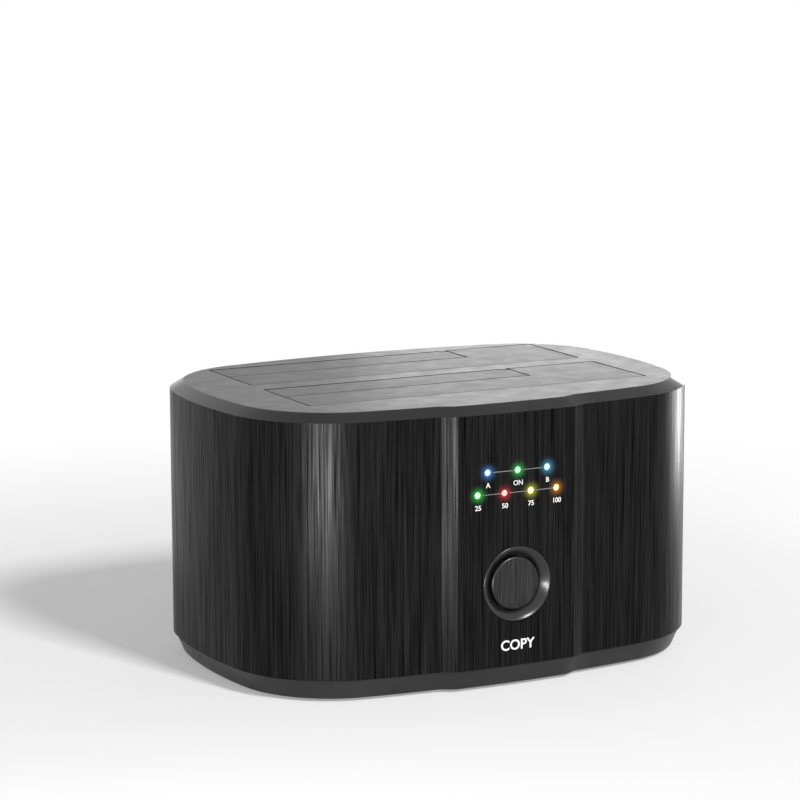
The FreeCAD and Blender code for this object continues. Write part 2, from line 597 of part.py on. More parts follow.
def make_top_cover():
    body = new_body("top_cover")
    wide = outline_at(body, "chamfer_foot", COVER_UNDER, "0")
    narrow = outline_at(body, "top_edge", "body_height", "chamfer_inset")
    loft(body, [wide, narrow], "cover_plate")
    lip = outline_at(body, "lip_ring", COVER_UNDER, "shell_wall + fit_gap", "shell_wall + fit_gap + lip_wall")
    pad(body, lip, "lip", "lip_height", backwards=True)
    openings = sketch_on(body, "XY_Plane", "opening_plan", out="body_height")
    rooms = sketch_on(body, "XY_Plane", "hinge_room_plan", out=COVER_UNDER)
    for bay, (front, back) in BAYS.items():
        collar = sketch_on(body, "XY_Plane", f"{bay}_collar_plan", out=COVER_UNDER)
        cut_rectangle(collar, bay, f"{BAY_LEFT} - collar_side", f"{BAY_RIGHT} + collar_side",
                      f"{front} - {HINGE_ROOM} - collar_wall", f"{back} + well_recess + well_wall",
                      "well_corner")
        pad(body, collar, f"{bay}_collar", "collar_drop", backwards=True)
        cut_rectangle(openings, bay, BAY_LEFT, BAY_RIGHT, front, back, "bay_corner")
        rectangle(rooms, bay, BAY_LEFT, BAY_RIGHT, f"{front} - {HINGE_ROOM}", f"{front} + 0.1")
    ear_bosses = posts_at(body, "ear_boss_plan", COVER_UNDER, EARS, "small_screw_head + 0.6")
    pad(body, ear_bosses, "ear_bosses", "collar_drop", backwards=True)
    towers = posts_at(body, "tower_plan", COVER_UNDER, TOWERS, "tower_radius")
    pad(body, towers, "towers", f"{COVER_UNDER} - tower_foot_z", backwards=True)
    pocket(body, openings, "bay_openings", "chamfer_height + collar_drop")
    pocket(body, rooms, "hinge_rooms", "collar_drop")
    for bay, (front, back) in BAYS.items():
        y, z = hinge_axis(bay, "small")
        ear = sideways(body, f"{bay}_ear_plan", EAR_LEFT)
        rectangle(ear, "ear", y, f"{back} + 0.5", f"{z} - flap_thickness / 2", "body_height")
        pad(body, ear, f"{bay}_ear", "ear_width")
        nose = sideways(body, f"{bay}_ear_nose_plan", EAR_LEFT)
        circle(nose, "nose", y, z, "flap_thickness / 2")
        pad(body, nose, f"{bay}_ear_nose", "ear_width")
    for flap in ("large", "small"):
        left, right = hinge_span(flap)
        seats = sideways(body, f"{flap}_pin_seats", right)
        for bay in BAYS:
            many_sided(seats, *hinge_axis(bay, flap), f"({pin_size(flap)} + pin_fit) / cos(22.5)")
        pocket(body, seats, f"{flap}_pin_bores", f"{right} - {left}")
    for bay, (front, back) in BAYS.items():
        anchor = upright(body, f"{bay}_anchor_plan", f"{front} - {HINGE_ROOM} - spring_leg_seat")
        many_sided(anchor, f"{SPRING_X} + spring_pitch * spring_turns / 2",
                   f"{LARGE_AXIS_Z} - spring_coil_radius", "(spring_wire_radius + fit_gap) / cos(22.5)")
        pocket(body, anchor, f"{bay}_spring_anchor", "spring_leg_seat")
    bores = posts_at(body, "tower_bore_plan", "tower_foot_z", TOWERS, "case_screw_radius + screw_clearance")
    pocket(body, bores, "tower_bores", "case_screw_length", with_normal=True)
    ear_bores = posts_at(body, "ear_bore_plan", COLLAR_FOOT, EARS, "small_screw_radius + screw_clearance")
    pocket(body, ear_bores, "ear_bores", "small_screw_length - well_wall", with_normal=True)
    return body


def make_outer_sleeve():
    body = new_body("outer_sleeve")
    ring = outline_at(body, "wall_ring", "skirt_top", "0", "shell_wall")
    pad(body, ring, "wall", f"{COVER_UNDER} - skirt_top")
    posts = upright(body, "post_plan", FRONT_BOARD_FACE)
    for side, x in (("left", "-front_screw_x"), ("right", "front_screw_x")):
        many_sided(posts, x, "front_screw_z", "small_screw_head + 0.4")
    pad(body, posts, "board_posts", f"{FRONT_BOARD_FACE} - ({PAD_FACE}) - shell_wall / 2")
    post_bores = upright(body, "post_bore_plan", FRONT_BOARD_FACE)
    for side, x in (("left", "-front_screw_x"), ("right", "front_screw_x")):
        many_sided(post_bores, x, "front_screw_z", "small_screw_radius + screw_clearance")
    pocket(body, post_bores, "post_bores", "small_screw_length - board_thickness", with_normal=True)
    holes = upright(body, "front_hole_plan", f"{PAD_FACE} - 1")
    circle(holes, "ring", "0", "button_z", "ring_radius + fit_gap / 2")
    for label, x, z in LIGHTS:
        many_sided(holes, x, z, "led_radius + led_clearance", 10)
    pocket(body, holes, "front_holes", "shell_wall + 2")
    notch = upright(body, "notch_plan", f"{BACK_FACE} - shell_wall - 3")
    rectangle(notch, "notch", "-panel_half_width - fit_gap", "panel_half_width + fit_gap",
              "skirt_top - 1", "panel_top + fit_gap")
    pocket(body, notch, "port_notch", "shell_wall + 4")
    return body


def back_band(sketch, name, half, outer_inset, inner_inset):
    """A strip that follows the bowed back wall, between two insets and two upright edges."""
    bow = size("front_bow_radius")
    reach = size(half)
    centre = Vector(0, size(f"{BODY_DEPTH} / 2") - bow, 0)
    curves = []
    for key, inset in (("outer", outer_inset), ("inner", inner_inset)):
        radius = bow - size(inset)
        lean = math.asin(reach / radius)
        round_wall = Part.Circle(centre, Vector(0, 0, 1), radius)
        arc = Part.ArcOfCircle(round_wall, math.pi / 2 - lean, math.pi / 2 + lean)
        curve = sketch.addGeometry(arc, False)
        hold(sketch, f"{name}_{key}_r", f"front_bow_radius - ({inset})", "Radius", curve)
        hold(sketch, f"{name}_{key}_cx", "0", "DistanceX", -1, 1, curve, 3)
        hold(sketch, f"{name}_{key}_cy", f"{BODY_DEPTH} / 2 - front_bow_radius", "DistanceY", -1, 1, curve, 3)
        curves.append((curve, radius))
    for end, way in ((1, 1), (2, -1)):
        ends = []
        for curve, radius in curves:
            ends.append(Vector(way * reach, centre.y + math.sqrt(radius ** 2 - reach ** 2), 0))
        side = sketch.addGeometry(Part.LineSegment(*ends), False)
        for point, (curve, radius) in enumerate(curves, start=1):
            sketch.addConstraint(Sketcher.Constraint("Coincident", curve, end, side, point))
            hold(sketch, f"{name}_side{end}_x{point}", f"{way} * ({half})", "DistanceX", -1, 1, side, point)


def port_panel(body):
    """The upright wall of the base that carries the ports, curved like the back of the sleeve."""
    clear = sketch_on(body, "XY_Plane", "port_room_plan", up=BODY_Y, out="skirt_top + lip_height")
    back_band(clear, "room", "panel_half_width - shell_wall", "shell_wall", "shell_wall + 5")
    pocket(body, clear, "port_room", f"skirt_top + lip_height - {FLOOR_TOP}")
    panel = sketch_on(body, "XY_Plane", "panel_plan", up=BODY_Y, out="foot_standoff")
    back_band(panel, "panel", "panel_half_width", "0", "shell_wall")
    pad(body, panel, "port_panel", "panel_top - foot_standoff")


def cut_ports(body):
    cuts = upright(body, "port_plan", f"{BACK_FACE} - shell_wall - 3")
    rectangle(cuts, "usb", "usb_x - usb_width / 2 - port_gap", "usb_x + usb_width / 2 + port_gap",
              "usb_bottom - port_gap", "usb_bottom + usb_height + port_gap")
    many_sided(cuts, "jack_x", "board_under_z - jack_height / 2", "jack_bore + jack_nose_wall + fit_gap", 16)
    case = "switch_rim - port_gap"
    switch_rectangle(cuts, "switch", f"({case})")
    pocket(body, cuts, "port_cuts", "shell_wall + 4")


def make_base_tray():
    body = new_body("base_tray")
    bottom = outline_at(body, "skirt_foot", "foot_standoff", "skirt_inset_bottom")
    top = outline_at(body, "skirt_head", "skirt_top", "skirt_inset_top")
    loft(body, [bottom, top], "skirt")
    plug = outline_at(body, "lip_plan", "skirt_top", "shell_wall + fit_gap")
    pad(body, plug, "lip", "lip_height")
    cavity = outline_at(body, "cavity_plan", "skirt_top + lip_height", "shell_wall + fit_gap + lip_wall")
    pocket(body, cavity, "cavity", f"skirt_top + lip_height - {FLOOR_TOP}")
    port_panel(body)
    bosses = posts_at(body, "boss_plan", FLOOR_TOP, TOWERS, "tower_radius + 0.5")
    pad(body, bosses, "tower_bosses", f"tower_foot_z - {FLOOR_TOP}")
    standoffs = posts_at(body, "standoff_plan", FLOOR_TOP, STANDOFFS, "small_screw_head + 0.5")
    pad(body, standoffs, "board_standoffs", f"board_under_z - {FLOOR_TOP}")
    cut_ports(body)
    recesses = posts_at(body, "foot_recess_plan", "foot_standoff", FEET, "foot_radius + 0.1", 16)
    pocket(body, recesses, "foot_recesses", "foot_recess", with_normal=True)
    through = posts_at(body, "case_bore_plan", "tower_foot_z", TOWERS, "case_screw_radius + screw_clearance")
    pocket(body, through, "case_screw_bores", "tower_foot_z - foot_standoff")
    sinks = posts_at(body, "sink_plan", "foot_standoff", TOWERS, "case_screw_head + 0.2")
    pocket(body, sinks, "screw_sinks", "case_head_sink", with_normal=True)
    pilots = posts_at(body, "pilot_plan", "board_under_z", STANDOFFS, "small_screw_radius + screw_clearance")
    pocket(body, pilots, "board_pilots", "small_screw_length")
    vents = sketch_on(body, "XY_Plane", "vent_plan", out=FLOOR_TOP)
    for index in range(-3, 4):
        middle = f"{index} * vent_pitch"
        cut_rectangle(vents, f"vent{index + 3}", f"{middle} - vent_width / 2", f"{middle} + vent_width / 2",
                      "-vent_length / 2", "vent_length / 2", "vent_corner")
    pocket(body, vents, "vent_slots", "base_floor")
    return body


def make_well(bay):
    """A moulded well under one opening, with the slot for its receptacle in the floor."""
    front, back = BAYS[bay]
    body = new_body(f"{bay}_bay_well")
    outside = "(well_recess + well_wall)"
    front_face = f"({front} - well_front_recess - well_wall)"
    outer = sketch_on(body, "XY_Plane", "outer_plan", out="drive_seat_z - well_floor")
    cut_rectangle(outer, "outer", f"{BAY_LEFT} - {outside}", f"{BAY_RIGHT} + {outside}",
                  front_face, f"{back} + {outside}", "well_corner")
    pad(body, outer, "block", f"{COLLAR_FOOT} - drive_seat_z + well_floor")
    ears = sketch_on(body, "XY_Plane", "ear_plan", out=f"{COLLAR_FOOT} - well_wall")
    middle = BAY_MIDDLES[bay]
    reach = "(well_recess + well_wall + 2 * small_screw_head + 1.4)"
    rectangle(ears, "ears", f"{BAY_LEFT} - {reach}", f"{BAY_RIGHT} + {reach}",
              f"{middle} - ear_half_depth", f"{middle} + ear_half_depth")
    pad(body, ears, "ears", "well_wall")
    inner = sketch_on(body, "XY_Plane", "inner_plan", out=COLLAR_FOOT)
    cut_rectangle(inner, "inner", f"{BAY_LEFT} - well_recess", f"{BAY_RIGHT} + well_recess",
                  f"{front} - well_front_recess", f"{back} + well_recess", "well_inner_corner")
    pocket(body, inner, "hollow", f"{COLLAR_FOOT} - drive_seat_z")
    notches = sketch_on(body, "XY_Plane", "arm_notch_plan", out=COLLAR_FOOT)
    for index, x in enumerate(ARMS):
        rectangle(notches, f"notch{index}", f"{x} - arm_width / 2 - hinge_gap",
                  f"{x} + arm_width / 2 + hinge_gap", f"{front_face} - 1", f"{front} - well_front_recess + 1")
    swing = "(hinge_setback + hinge_gap + arm_thickness + 0.5)"
    pocket(body, notches, "arm_notches", f"{COLLAR_FOOT} - {LARGE_AXIS_Z} + {swing}")
    slot = sketch_on(body, "XY_Plane", "slot_plan", out="drive_seat_z")
    x = f"({BAY_LEFT} + sata_from_bay_edge)"
    y = f"({back} - sata_from_bay_back)"
    rectangle(slot, "slot", f"{x} - sata_length / 2 - 0.3", f"{x} + sata_length / 2 + 0.3",
              f"{y} - sata_thickness / 2 - 0.3", f"{y} + sata_thickness / 2 + 0.3")
    pocket(body, slot, "receptacle_slot", "well_floor")
    holes = sketch_on(body, "XY_Plane", "ear_hole_plan", out=COLLAR_FOOT)
    for index, (ear_x, ear_y) in enumerate(EARS):
        if middle == ear_y:
            many_sided(holes, ear_x, ear_y, "small_screw_radius + screw_clearance")
    pocket(body, holes, "ear_holes", "well_wall")
    return body


def bore_for_pin(body, bay, flap, left, right):
    bore = sideways(body, "bore_plan", right)
    many_sided(bore, *hinge_axis(bay, flap), f"({pin_size(flap)} + pin_clearance) / cos(15)", 12)
    pocket(body, bore, "pin_bore", f"{right} - {left}")


def make_large_flap(bay):
    """The L-shaped flap; cranked arms carry it on a pin under the rim in front of its opening."""
    front, back = BAYS[bay]
    y, z = hinge_axis(bay, "large")
    left = f"({BAY_LEFT} + flap_gap)"
    right = f"({BAY_RIGHT} - flap_gap)"
    front_edge = f"({front} + hinge_gap)"
    step_x = f"({EAR_RIGHT} + flap_gap)"
    step_y = f"({back} - small_flap_depth - 2 * flap_gap)"
    body = new_body(f"{bay}_large_flap")
    plate = sketch_on(body, "XY_Plane", "plate_plan", out="body_height")
    polygon(plate, "plate", [
        (left, front_edge),
        (right, front_edge),
        (right, f"{back} - flap_gap"),
        (step_x, f"{back} - flap_gap"),
        (step_x, step_y),
        (left, step_y),
    ])
    pad(body, plate, "plate", "flap_thickness", backwards=True)
    plate_under = "body_height - flap_thickness"
    for index, x in enumerate(ARMS):
        arm_left = f"({x} - arm_width / 2)"
        arm = sideways(body, f"arm_plan_{index}", arm_left)
        polygon(arm, "arm", [
            (y, f"{z} - arm_thickness / 2"),
            (f"{front_edge} + arm_thickness", f"{z} - arm_thickness / 2"),
            (f"{front_edge} + arm_thickness", f"{plate_under} + 0.2"),
            (front_edge, f"{plate_under} + 0.2"),
            (front_edge, f"{z} + arm_thickness / 2"),
            (y, f"{z} + arm_thickness / 2"),
        ])
        pad(body, arm, f"arm_{index}", "arm_width")
        knuckle = sideways(body, f"knuckle_plan_{index}", arm_left)
        many_sided(knuckle, y, z, "barrel_radius", 12)
        pad(body, knuckle, f"knuckle_{index}", "arm_width")
    bore_for_pin(body, bay, "large", left, right)
    return body


def make_small_flap(bay):
    """The flap for the smaller drive, hinged on the back edge of its opening."""
    front, back = BAYS[bay]
    y, z = hinge_axis(bay, "small")
    left = f"({BAY_LEFT} + flap_gap)"
    body = new_body(f"{bay}_small_flap")
    plate = sketch_on(body, "XY_Plane", "plate_plan", out="body_height")
    front_edge = f"({back} - small_flap_depth - flap_gap)"
    ear_front = f"({y} - flap_thickness / 2 - hinge_gap)"
    polygon(plate, "plate", [
        (left, front_edge),
        (EAR_RIGHT, front_edge),
        (EAR_RIGHT, ear_front),
        (SMALL_RIGHT, ear_front),
        (SMALL_RIGHT, y),
        (left, y),
    ])
    pad(body, plate, "plate", "flap_thickness", backwards=True)
    edge = sideways(body, "hinge_edge_plan", left)
    circle(edge, "edge", y, z, "flap_thickness / 2")
    pad(body, edge, "hinge_edge", "small_flap_width")
    bore_for_pin(body, bay, "small", left, SMALL_RIGHT)
    return body


def make_pin(bay, flap):
    left, right = hinge_span(flap)
    y, z = hinge_axis(bay, flap)
    pin = doc.addObject("Part::Prism", f"{bay}_{flap}_pin")
    pin.Polygon = 12
    bind(pin, Circumradius=pin_size(flap), Height=f"{right} - {left} - 0.1")
    pin.Placement = Placement(Vector(), Rotation(Vector(0, 1, 0), 90))
    bind(pin, Placement__Base__x=f"{left} + 0.05", Placement__Base__y=y, Placement__Base__z=z)
    node(pin, f"{bay}_{flap}_flap_pin")


def make_torsion_spring(bay):
    """Wire coiled round the pin; one leg lies under the flap, the other is held in the collar."""
    radius = size("spring_coil_radius")
    wire = size("spring_wire_radius")
    length = size("spring_pitch * spring_turns")
    fixed_reach = size(f"{HINGE_ROOM} - hinge_setback + spring_leg_seat - 0.2")
    plate_under = size(f"body_height - flap_thickness - {LARGE_AXIS_Z}") - wire - 0.05
    steps = round(size("spring_turns * spring_sides"))
    points = [Vector(-length / 2, size("spring_reach"), plate_under)]
    for index in range(steps + 1):
        turn = math.radians(-90) - 2 * math.pi * index / size("spring_sides")
        along = length * (index / steps - 0.5)
        points.append(Vector(along, radius * math.cos(turn), radius * math.sin(turn)))
    points.append(Vector(length / 2, -fixed_reach, -radius))
    start, following = points[0], points[1]
    section = Part.Circle(start, following - start, wire).toShape()
    ring = section.discretize(int(size("spring_sides / 2")) + 1)
    path = Part.makePolygon(points)
    coil = path.makePipeShell([Part.makePolygon(ring[:-1] + ring[:1])], True, False, 1)
    spring = doc.addObject("Part::Feature", f"{bay}_spring")
    spring.Shape = coil
    y, z = hinge_axis(bay, "large")
    spring.Placement = Placement(Vector(size(SPRING_X), size(y), size(z)), Rotation())
    node(spring, f"{bay}_flap_spring")


def sata_place(bay):
    return f"({BAY_LEFT} + sata_from_bay_edge)", f"({BAYS[bay][1]} - sata_from_bay_back)"


def sata_slots():
    """Left and right ends of the two slots, measured from the receptacle's middle."""
    total = "(sata_signal_slot + sata_slot_bridge + sata_power_slot)"
    return [
        (f"-{total} / 2", f"-{total} / 2 + sata_signal_slot"),
        (f"{total} / 2 - sata_power_slot", f"{total} / 2"),
    ]


def make_sata_socket(bay):
    x, y = sata_place(bay)
    body = new_body(f"{bay}_sata_socket")
    base = sketch_on(body, "XY_Plane", "housing_plan", across=x, up=y, out=BOARD_TOP)
    rectangle(base, "housing", "-sata_length / 2", "sata_length / 2",
              "-sata_thickness / 2", "sata_thickness / 2")
    pad(body, base, "housing", "sata_height")
    slots = sketch_on(body, "XY_Plane", "slot_plan", across=x, up=y, out=f"{BOARD_TOP} + sata_height")
    for index, (left, right) in enumerate(sata_slots()):
        key = f"{right} - sata_key" if index == 0 else f"{left} + sata_key"
        deep = "sata_slot / 2 + sata_key_depth"
        corners = [(left, "-sata_slot / 2"), (right, "-sata_slot / 2")]
        if index == 0:
            corners += [(right, deep), (key, deep), (key, "sata_slot / 2"), (left, "sata_slot / 2")]
        else:
            corners += [(right, "sata_slot / 2"), (key, "sata_slot / 2"), (key, deep), (left, deep)]
        polygon(slots, f"slot{index}", corners)
    pocket(body, slots, "tongue_slots", "sata_slot_drop")
    return body


def make_sata_contacts(bay):
    """Blade springs along the back wall of each slot, seven and fifteen."""
    x, y = sata_place(bay)
    top = f"{BOARD_TOP} + sata_height"
    blades = []
    for group, ((left, right), count) in enumerate(zip(sata_slots(), (7, 15))):
        middle = f"({left} + {right}) / 2"
        for index in range(count):
            place = f"{x} + {middle} + ({index} - {(count - 1) / 2}) * sata_pitch"
            blade = box(f"{bay}_blade_{group}_{index}", f"{place} - sata_blade_width / 2",
                        f"{place} + sata_blade_width / 2", f"{y} - sata_slot / 2",
                        f"{y} - sata_slot / 2 + sata_blade_depth", f"{top} - sata_slot_drop",
                        f"{top} - sata_blade_drop")
            blades.append(blade)
    grouped(f"{bay}_sata_contacts", blades)


def make_main_board():
    body = new_body("main_board")
    plan = sketch_on(body, "XY_Plane", "board_plan", out="board_under_z")
    tongue_front = f"({FRONT_BOARD_BACK} + 0.1)"
    usb_left = "(usb_x - usb_width / 2 - 0.2)"
    usb_right = "(usb_x + usb_width / 2 + 0.2)"
    back = f"({BACK_FACE} - shell_wall - 2.4)"
    wide_front = f"({BAYS['front'][0]} + board_front_step)"
    wide_back = f"({BAYS['rear'][1]} + board_back_step)"
    polygon(plan, "board", [
        (f"-{BOARD_END}", wide_front),
        ("-board_tongue_half", wide_front),
        ("-board_tongue_half", tongue_front),
        ("board_tongue_half", tongue_front),
        ("board_tongue_half", wide_front),
        (BOARD_END, wide_front),
        (BOARD_END, wide_back),
        ("panel_half_width - 2", back),
        (usb_right, back),
        (usb_right, f"{BACK_FACE} - usb_length - 0.4"),
        (usb_left, f"{BACK_FACE} - usb_length - 0.4"),
        (usb_left, back),
        ("2 - panel_half_width", back),
        (f"-{BOARD_END}", wide_back),
    ])
    pad(body, plan, "board", "board_thickness")
    holes = posts_at(body, "hole_plan", BOARD_TOP, STANDOFFS, "small_screw_radius + screw_clearance")
    pocket(body, holes, "screw_holes", "board_thickness")
    return body


def make_front_board():
    body = new_body("front_board")
    plan = upright(body, "board_plan", FRONT_BOARD_BACK)
    rectangle(plan, "board", "-front_board_half_width", "front_board_half_width",
              "front_board_bottom", "front_board_top")
    pad(body, plan, "board", "board_thickness")
    holes = upright(body, "hole_plan", FRONT_BOARD_FACE)
    for side, x in (("left", "-front_screw_x"), ("right", "front_screw_x")):
        many_sided(holes, x, "front_screw_z", "small_screw_radius + screw_clearance")
    pocket(body, holes, "screw_holes", "board_thickness")
    return body


def make_board_parts():
    """The larger parts on the main board, in front of and under the wells."""
    header_back = f"({FRONT_BOARD_BACK} + header_depth)"
    header = box("header_block", "-header_length / 2", "header_length / 2", FRONT_BOARD_BACK, header_back,
                 BOARD_TOP, f"{BOARD_TOP} + header_depth")
    node(header, "board_header")
    socket_x, socket_y = sata_place("front")
    chip_left = f"({socket_x} + sata_length / 2 + chip_beside_socket)"
    chip_front = f"({BAYS['front'][1]} - chip_from_bay_back - chip_size / 2)"
    chip = box("chip_block", chip_left, f"{chip_left} + chip_size", chip_front, f"{chip_front} + chip_size",
               BOARD_TOP, f"{BOARD_TOP} + chip_height")
    node(chip, "bridge_chip")
    middle = f"(({header_back} + {WELL_FACE}) / 2)"
    cans = []
    for index, x in enumerate(("-can_spacing / 2", "can_spacing / 2")):
        top = f"{BOARD_TOP} + can_height"
        cans.append(prism(f"can_{index}", x, middle, BOARD_TOP, top, "can_radius", 12))
    grouped("capacitors", cans)
    choke = box("choke_block", "-choke_size / 2", "choke_size / 2", f"{middle} - choke_size / 2",
                f"{middle} + choke_size / 2", BOARD_TOP, f"{BOARD_TOP} + choke_height")
    node(choke, "power_choke")


def make_button_ring():
    body = new_body("button_ring")
    profile = sideways(body, "ring_profile", "0", y=PAD_FACE, z="button_z")
    behind = "(shell_wall + 0.35)"
    polygon(profile, "ring", [
        ("0.1", "ring_radius"),
        ("0.1", "ring_radius - ring_lip"),
        ("ring_dish", "ring_bore"),
        ("ring_dish + ring_tube", "ring_bore"),
        ("ring_dish + ring_tube", "ring_radius + ring_flange"),
        (behind, "ring_radius + ring_flange"),
        (behind, "ring_radius"),
    ])
    revolve(body, profile, "ring")
    return body


def make_copy_button():
    body = new_body("copy_button")
    profile = sideways(body, "cap_profile", "0", y=PAD_FACE, z="button_z")
    stop = "(ring_dish + ring_tube + 0.3)"
    polygon(profile, "cap", [
        ("button_recess", "0"),
        ("button_recess", "button_radius - button_edge"),
        ("button_recess + button_edge / 2", "button_radius"),
        (stop, "button_radius"),
        (stop, "ring_bore + button_keep"),
        (f"{stop} + button_flange", "ring_bore + button_keep"),
        (f"{stop} + button_flange", "button_radius - button_wall"),
        ("button_recess + button_wall", "button_radius - button_wall"),
        ("button_recess + button_wall", "0"),
    ])
    revolve(body, profile, "cap")
    return body


def make_tact_switch():
    face = FRONT_BOARD_FACE
    stem_tip = f"({PAD_FACE} + button_recess + button_wall + button_travel + 0.1)"
    half = "tact_size / 2"
    case = box("tact_case", f"-{half}", half, f"{stem_tip} + tact_stem_length", face,
               f"button_z - {half}", f"button_z + {half}")
    stem = doc.addObject("Part::Prism", "tact_stem")
    stem.Polygon = 12
    bind(stem, Circumradius="tact_stem_radius", Height="tact_stem_length + 0.1")
    stem.Placement = Placement(Vector(), Rotation(Vector(1, 0, 0), -90))
    bind(stem, Placement__Base__y=stem_tip, Placement__Base__z="button_z")
    node(fused("tact_union", [case, stem]), "tact_switch")


def make_light(label, x, z):
    """A domed lens on its lamp, standing on the upright board."""
    bow = "(front_bow_radius + pad_proud)"
    face = f"({PAD_FACE} + {bow} - sqrt({bow} * {bow} - ({x}) * ({x})))"
    body = new_body(label)
    shoulder = f"({face} + led_dome)"
    foot = upright(body, "lens_foot", shoulder)
    many_sided(foot, x, z, "led_radius", 10)
    tip = upright(body, "lens_tip", face)
    many_sided(tip, x, z, "0.6 * led_radius", 10)
    loft(body, [foot, tip], "dome")
    barrel = upright(body, "barrel_plan", shoulder)
    many_sided(barrel, x, z, "led_radius", 10)
    pad(body, barrel, "barrel", f"{FRONT_BOARD_FACE} - {shoulder}", backwards=True)
    lamp = upright(body, "lamp_plan", FRONT_BOARD_FACE)
    many_sided(lamp, x, z, "led_radius + led_lamp_rim", 10)
    pad(body, lamp, "lamp", "led_lamp")
    return body


def make_usb_socket():
    """The shell of the data socket and, in a node of its own, the moulding with the tongue."""
    low = "usb_bottom"
    high = "(usb_bottom + usb_height)"
    left = "(usb_x - usb_width / 2)"
    right = "(usb_x + usb_width / 2)"
    mouth = f"({BACK_FACE} - 0.1)"
    body = new_body("usb_socket_shell")
    plan = upright(body, "shell_plan", mouth)
    for name, wall in (("outer", "0"), ("inner", "usb_wall")):
        cut = f"(usb_corner - {wall} / 2)"
        polygon(plan, name, [
            (f"{left} + {wall}", f"{low} + {wall}"),
            (f"{right} - {wall}", f"{low} + {wall}"),
            (f"{right} - {wall}", f"{high} - {cut} - {wall}"),
            (f"{right} - {cut} - {wall}", f"{high} - {wall}"),
            (f"{left} + {cut} + {wall}", f"{high} - {wall}"),
            (f"{left} + {wall}", f"{high} - {cut} - {wall}"),
        ])
    pad(body, plan, "shell", "usb_length")
    core = new_body("usb_socket_core")
    block = upright(core, "block_plan", f"{mouth} - usb_plug_room")
    inside = "(usb_wall + 0.05)"
    rectangle(block, "block", f"{left} + {inside}", f"{right} - {inside}", f"{low} + {inside}",
              f"{high} - usb_corner - {inside}")
    pad(core, block, "block", "usb_length - usb_plug_room")
    tongue = upright(core, "tongue_plan", f"{mouth} - 1")
    rectangle(tongue, "tongue", "usb_x - usb_tongue_half", "usb_x + usb_tongue_half",
              f"{low} + usb_tongue_low", f"{low} + usb_tongue_low + usb_tongue_thickness")
    pad(core, tongue, "tongue", "usb_plug_room - 0.5")


def make_dc_jack():
    body = new_body("dc_jack_body")
    low = "(board_under_z - jack_height)"
    mouth = f"({BACK_FACE} - shell_wall - 0.3)"
    block = upright(body, "block_plan", mouth)
    rectangle(block, "block", "jack_x - jack_width / 2", "jack_x + jack_width / 2", low, "board_under_z")
    pad(body, block, "block", "jack_length")
    middle = "(board_under_z - jack_height / 2)"
    nose = upright(body, "nose_plan", f"{BACK_FACE} - 0.2")
    many_sided(nose, "jack_x", middle, "jack_bore + jack_nose_wall", 16)
    pad(body, nose, "nose", "shell_wall + 0.6")
    bore = upright(body, "bore_plan", f"{BACK_FACE} - 0.2")
    many_sided(bore, "jack_x", middle, "jack_bore", 16)
    pocket(body, bore, "bore", "jack_bore_depth", with_normal=True)
    pin = doc.addObject("Part::Prism", "jack_pin_rod")
    pin.Polygon = 12
    bind(pin, Circumradius="jack_pin_radius", Height="jack_bore_depth - 0.8")
    pin.Placement = Placement(Vector(), Rotation(Vector(1, 0, 0), -90))
    bind(pin, Placement__Base__x="jack_x", Placement__Base__y=f"{BACK_FACE} - 0.2 - jack_bore_depth",
         Placement__Base__z=middle)
    node(pin, "dc_jack_pin")


def switch_rectangle(sketch, name, inset):
    across = f"switch_width / 2 - ({inset})"
    rise = f"switch_height / 2 - ({inset})"
    rectangle(sketch, name, f"switch_x - ({across})", f"switch_x + {across}",
              f"switch_z - ({rise})", f"switch_z + {rise}")


def make_power_switch():
    """A rocker in its bezel; the rocker pivots on an upright axis and stays in either position."""
    body = new_body("power_switch_frame")
    face = f"({BACK_FACE} + switch_rim - 0.25)"
    plan = upright(body, "bezel_plan", face)
    switch_rectangle(plan, "bezel", "0")
    pad(body, plan, "bezel", "switch_rim")
    case = upright(body, "case_plan", f"{face} - 0.5")
    switch_rectangle(case, "case", "switch_rim")
    pad(body, case, "case", "switch_depth")
    room = upright(body, "room_plan", face)
    switch_rectangle(room, "room", "switch_rim + switch_wall")
    pocket(body, room, "room", "switch_room", with_normal=True)
    rocker = new_body("power_rocker")
    reach = "(switch_width / 2 - switch_rim - switch_wall - rocker_gap)"
    sine = "sin(rocker_tilt)"
    cosine = "cos(rocker_tilt)"
    tip = "(rocker_thickness - rocker_behind)"
    pivot_y = f"({BACK_FACE} + rocker_proud - {reach} * {sine} - {tip} * {cosine})"
    side = "(switch_rim + switch_wall + 0.2)"
    plan = sketch_on(rocker, "XY_Plane", "rocker_plan", across="switch_x", up=pivot_y,
                     out=f"switch_z - switch_height / 2 + {side}")
    profile = [(f"-{reach}", "-rocker_behind"), (reach, "-rocker_behind"), (reach, tip),
               ("0", f"({tip} - rocker_hollow)"), (f"-{reach}", tip)]
    corners = []
    for along, outward in profile:
        corners.append((f"({along}) * {cosine} - ({outward}) * {sine}",
                        f"({along}) * {sine} + ({outward}) * {cosine}"))
    polygon(plan, "rocker", corners)
    pad(rocker, plan, "rocker", f"switch_height - 2 * {side}")


def make_feet():
    pads = []
    for index, (x, y) in enumerate(FEET):
        pads.append(prism(f"foot_{index}", x, y, "0", "foot_standoff + foot_recess", "foot_radius", 16))
    grouped("rubber_feet", pads)


def make_screw(name, x, y, seat, radius, head, head_height, length, upward):
    """A headed screw; the seat is the level under its head."""
    if upward:
        cap = prism(name + "_head", x, y, f"{seat} - {head_height}", seat, head)
        shank = prism(name + "_shank", x, y, seat, f"{seat} + {length}", radius)
    else:
        cap = prism(name + "_head", x, y, seat, f"{seat} + {head_height}", head)
        shank = prism(name + "_shank", x, y, f"{seat} - {length}", seat, radius)
    return fused(name, [cap, shank])


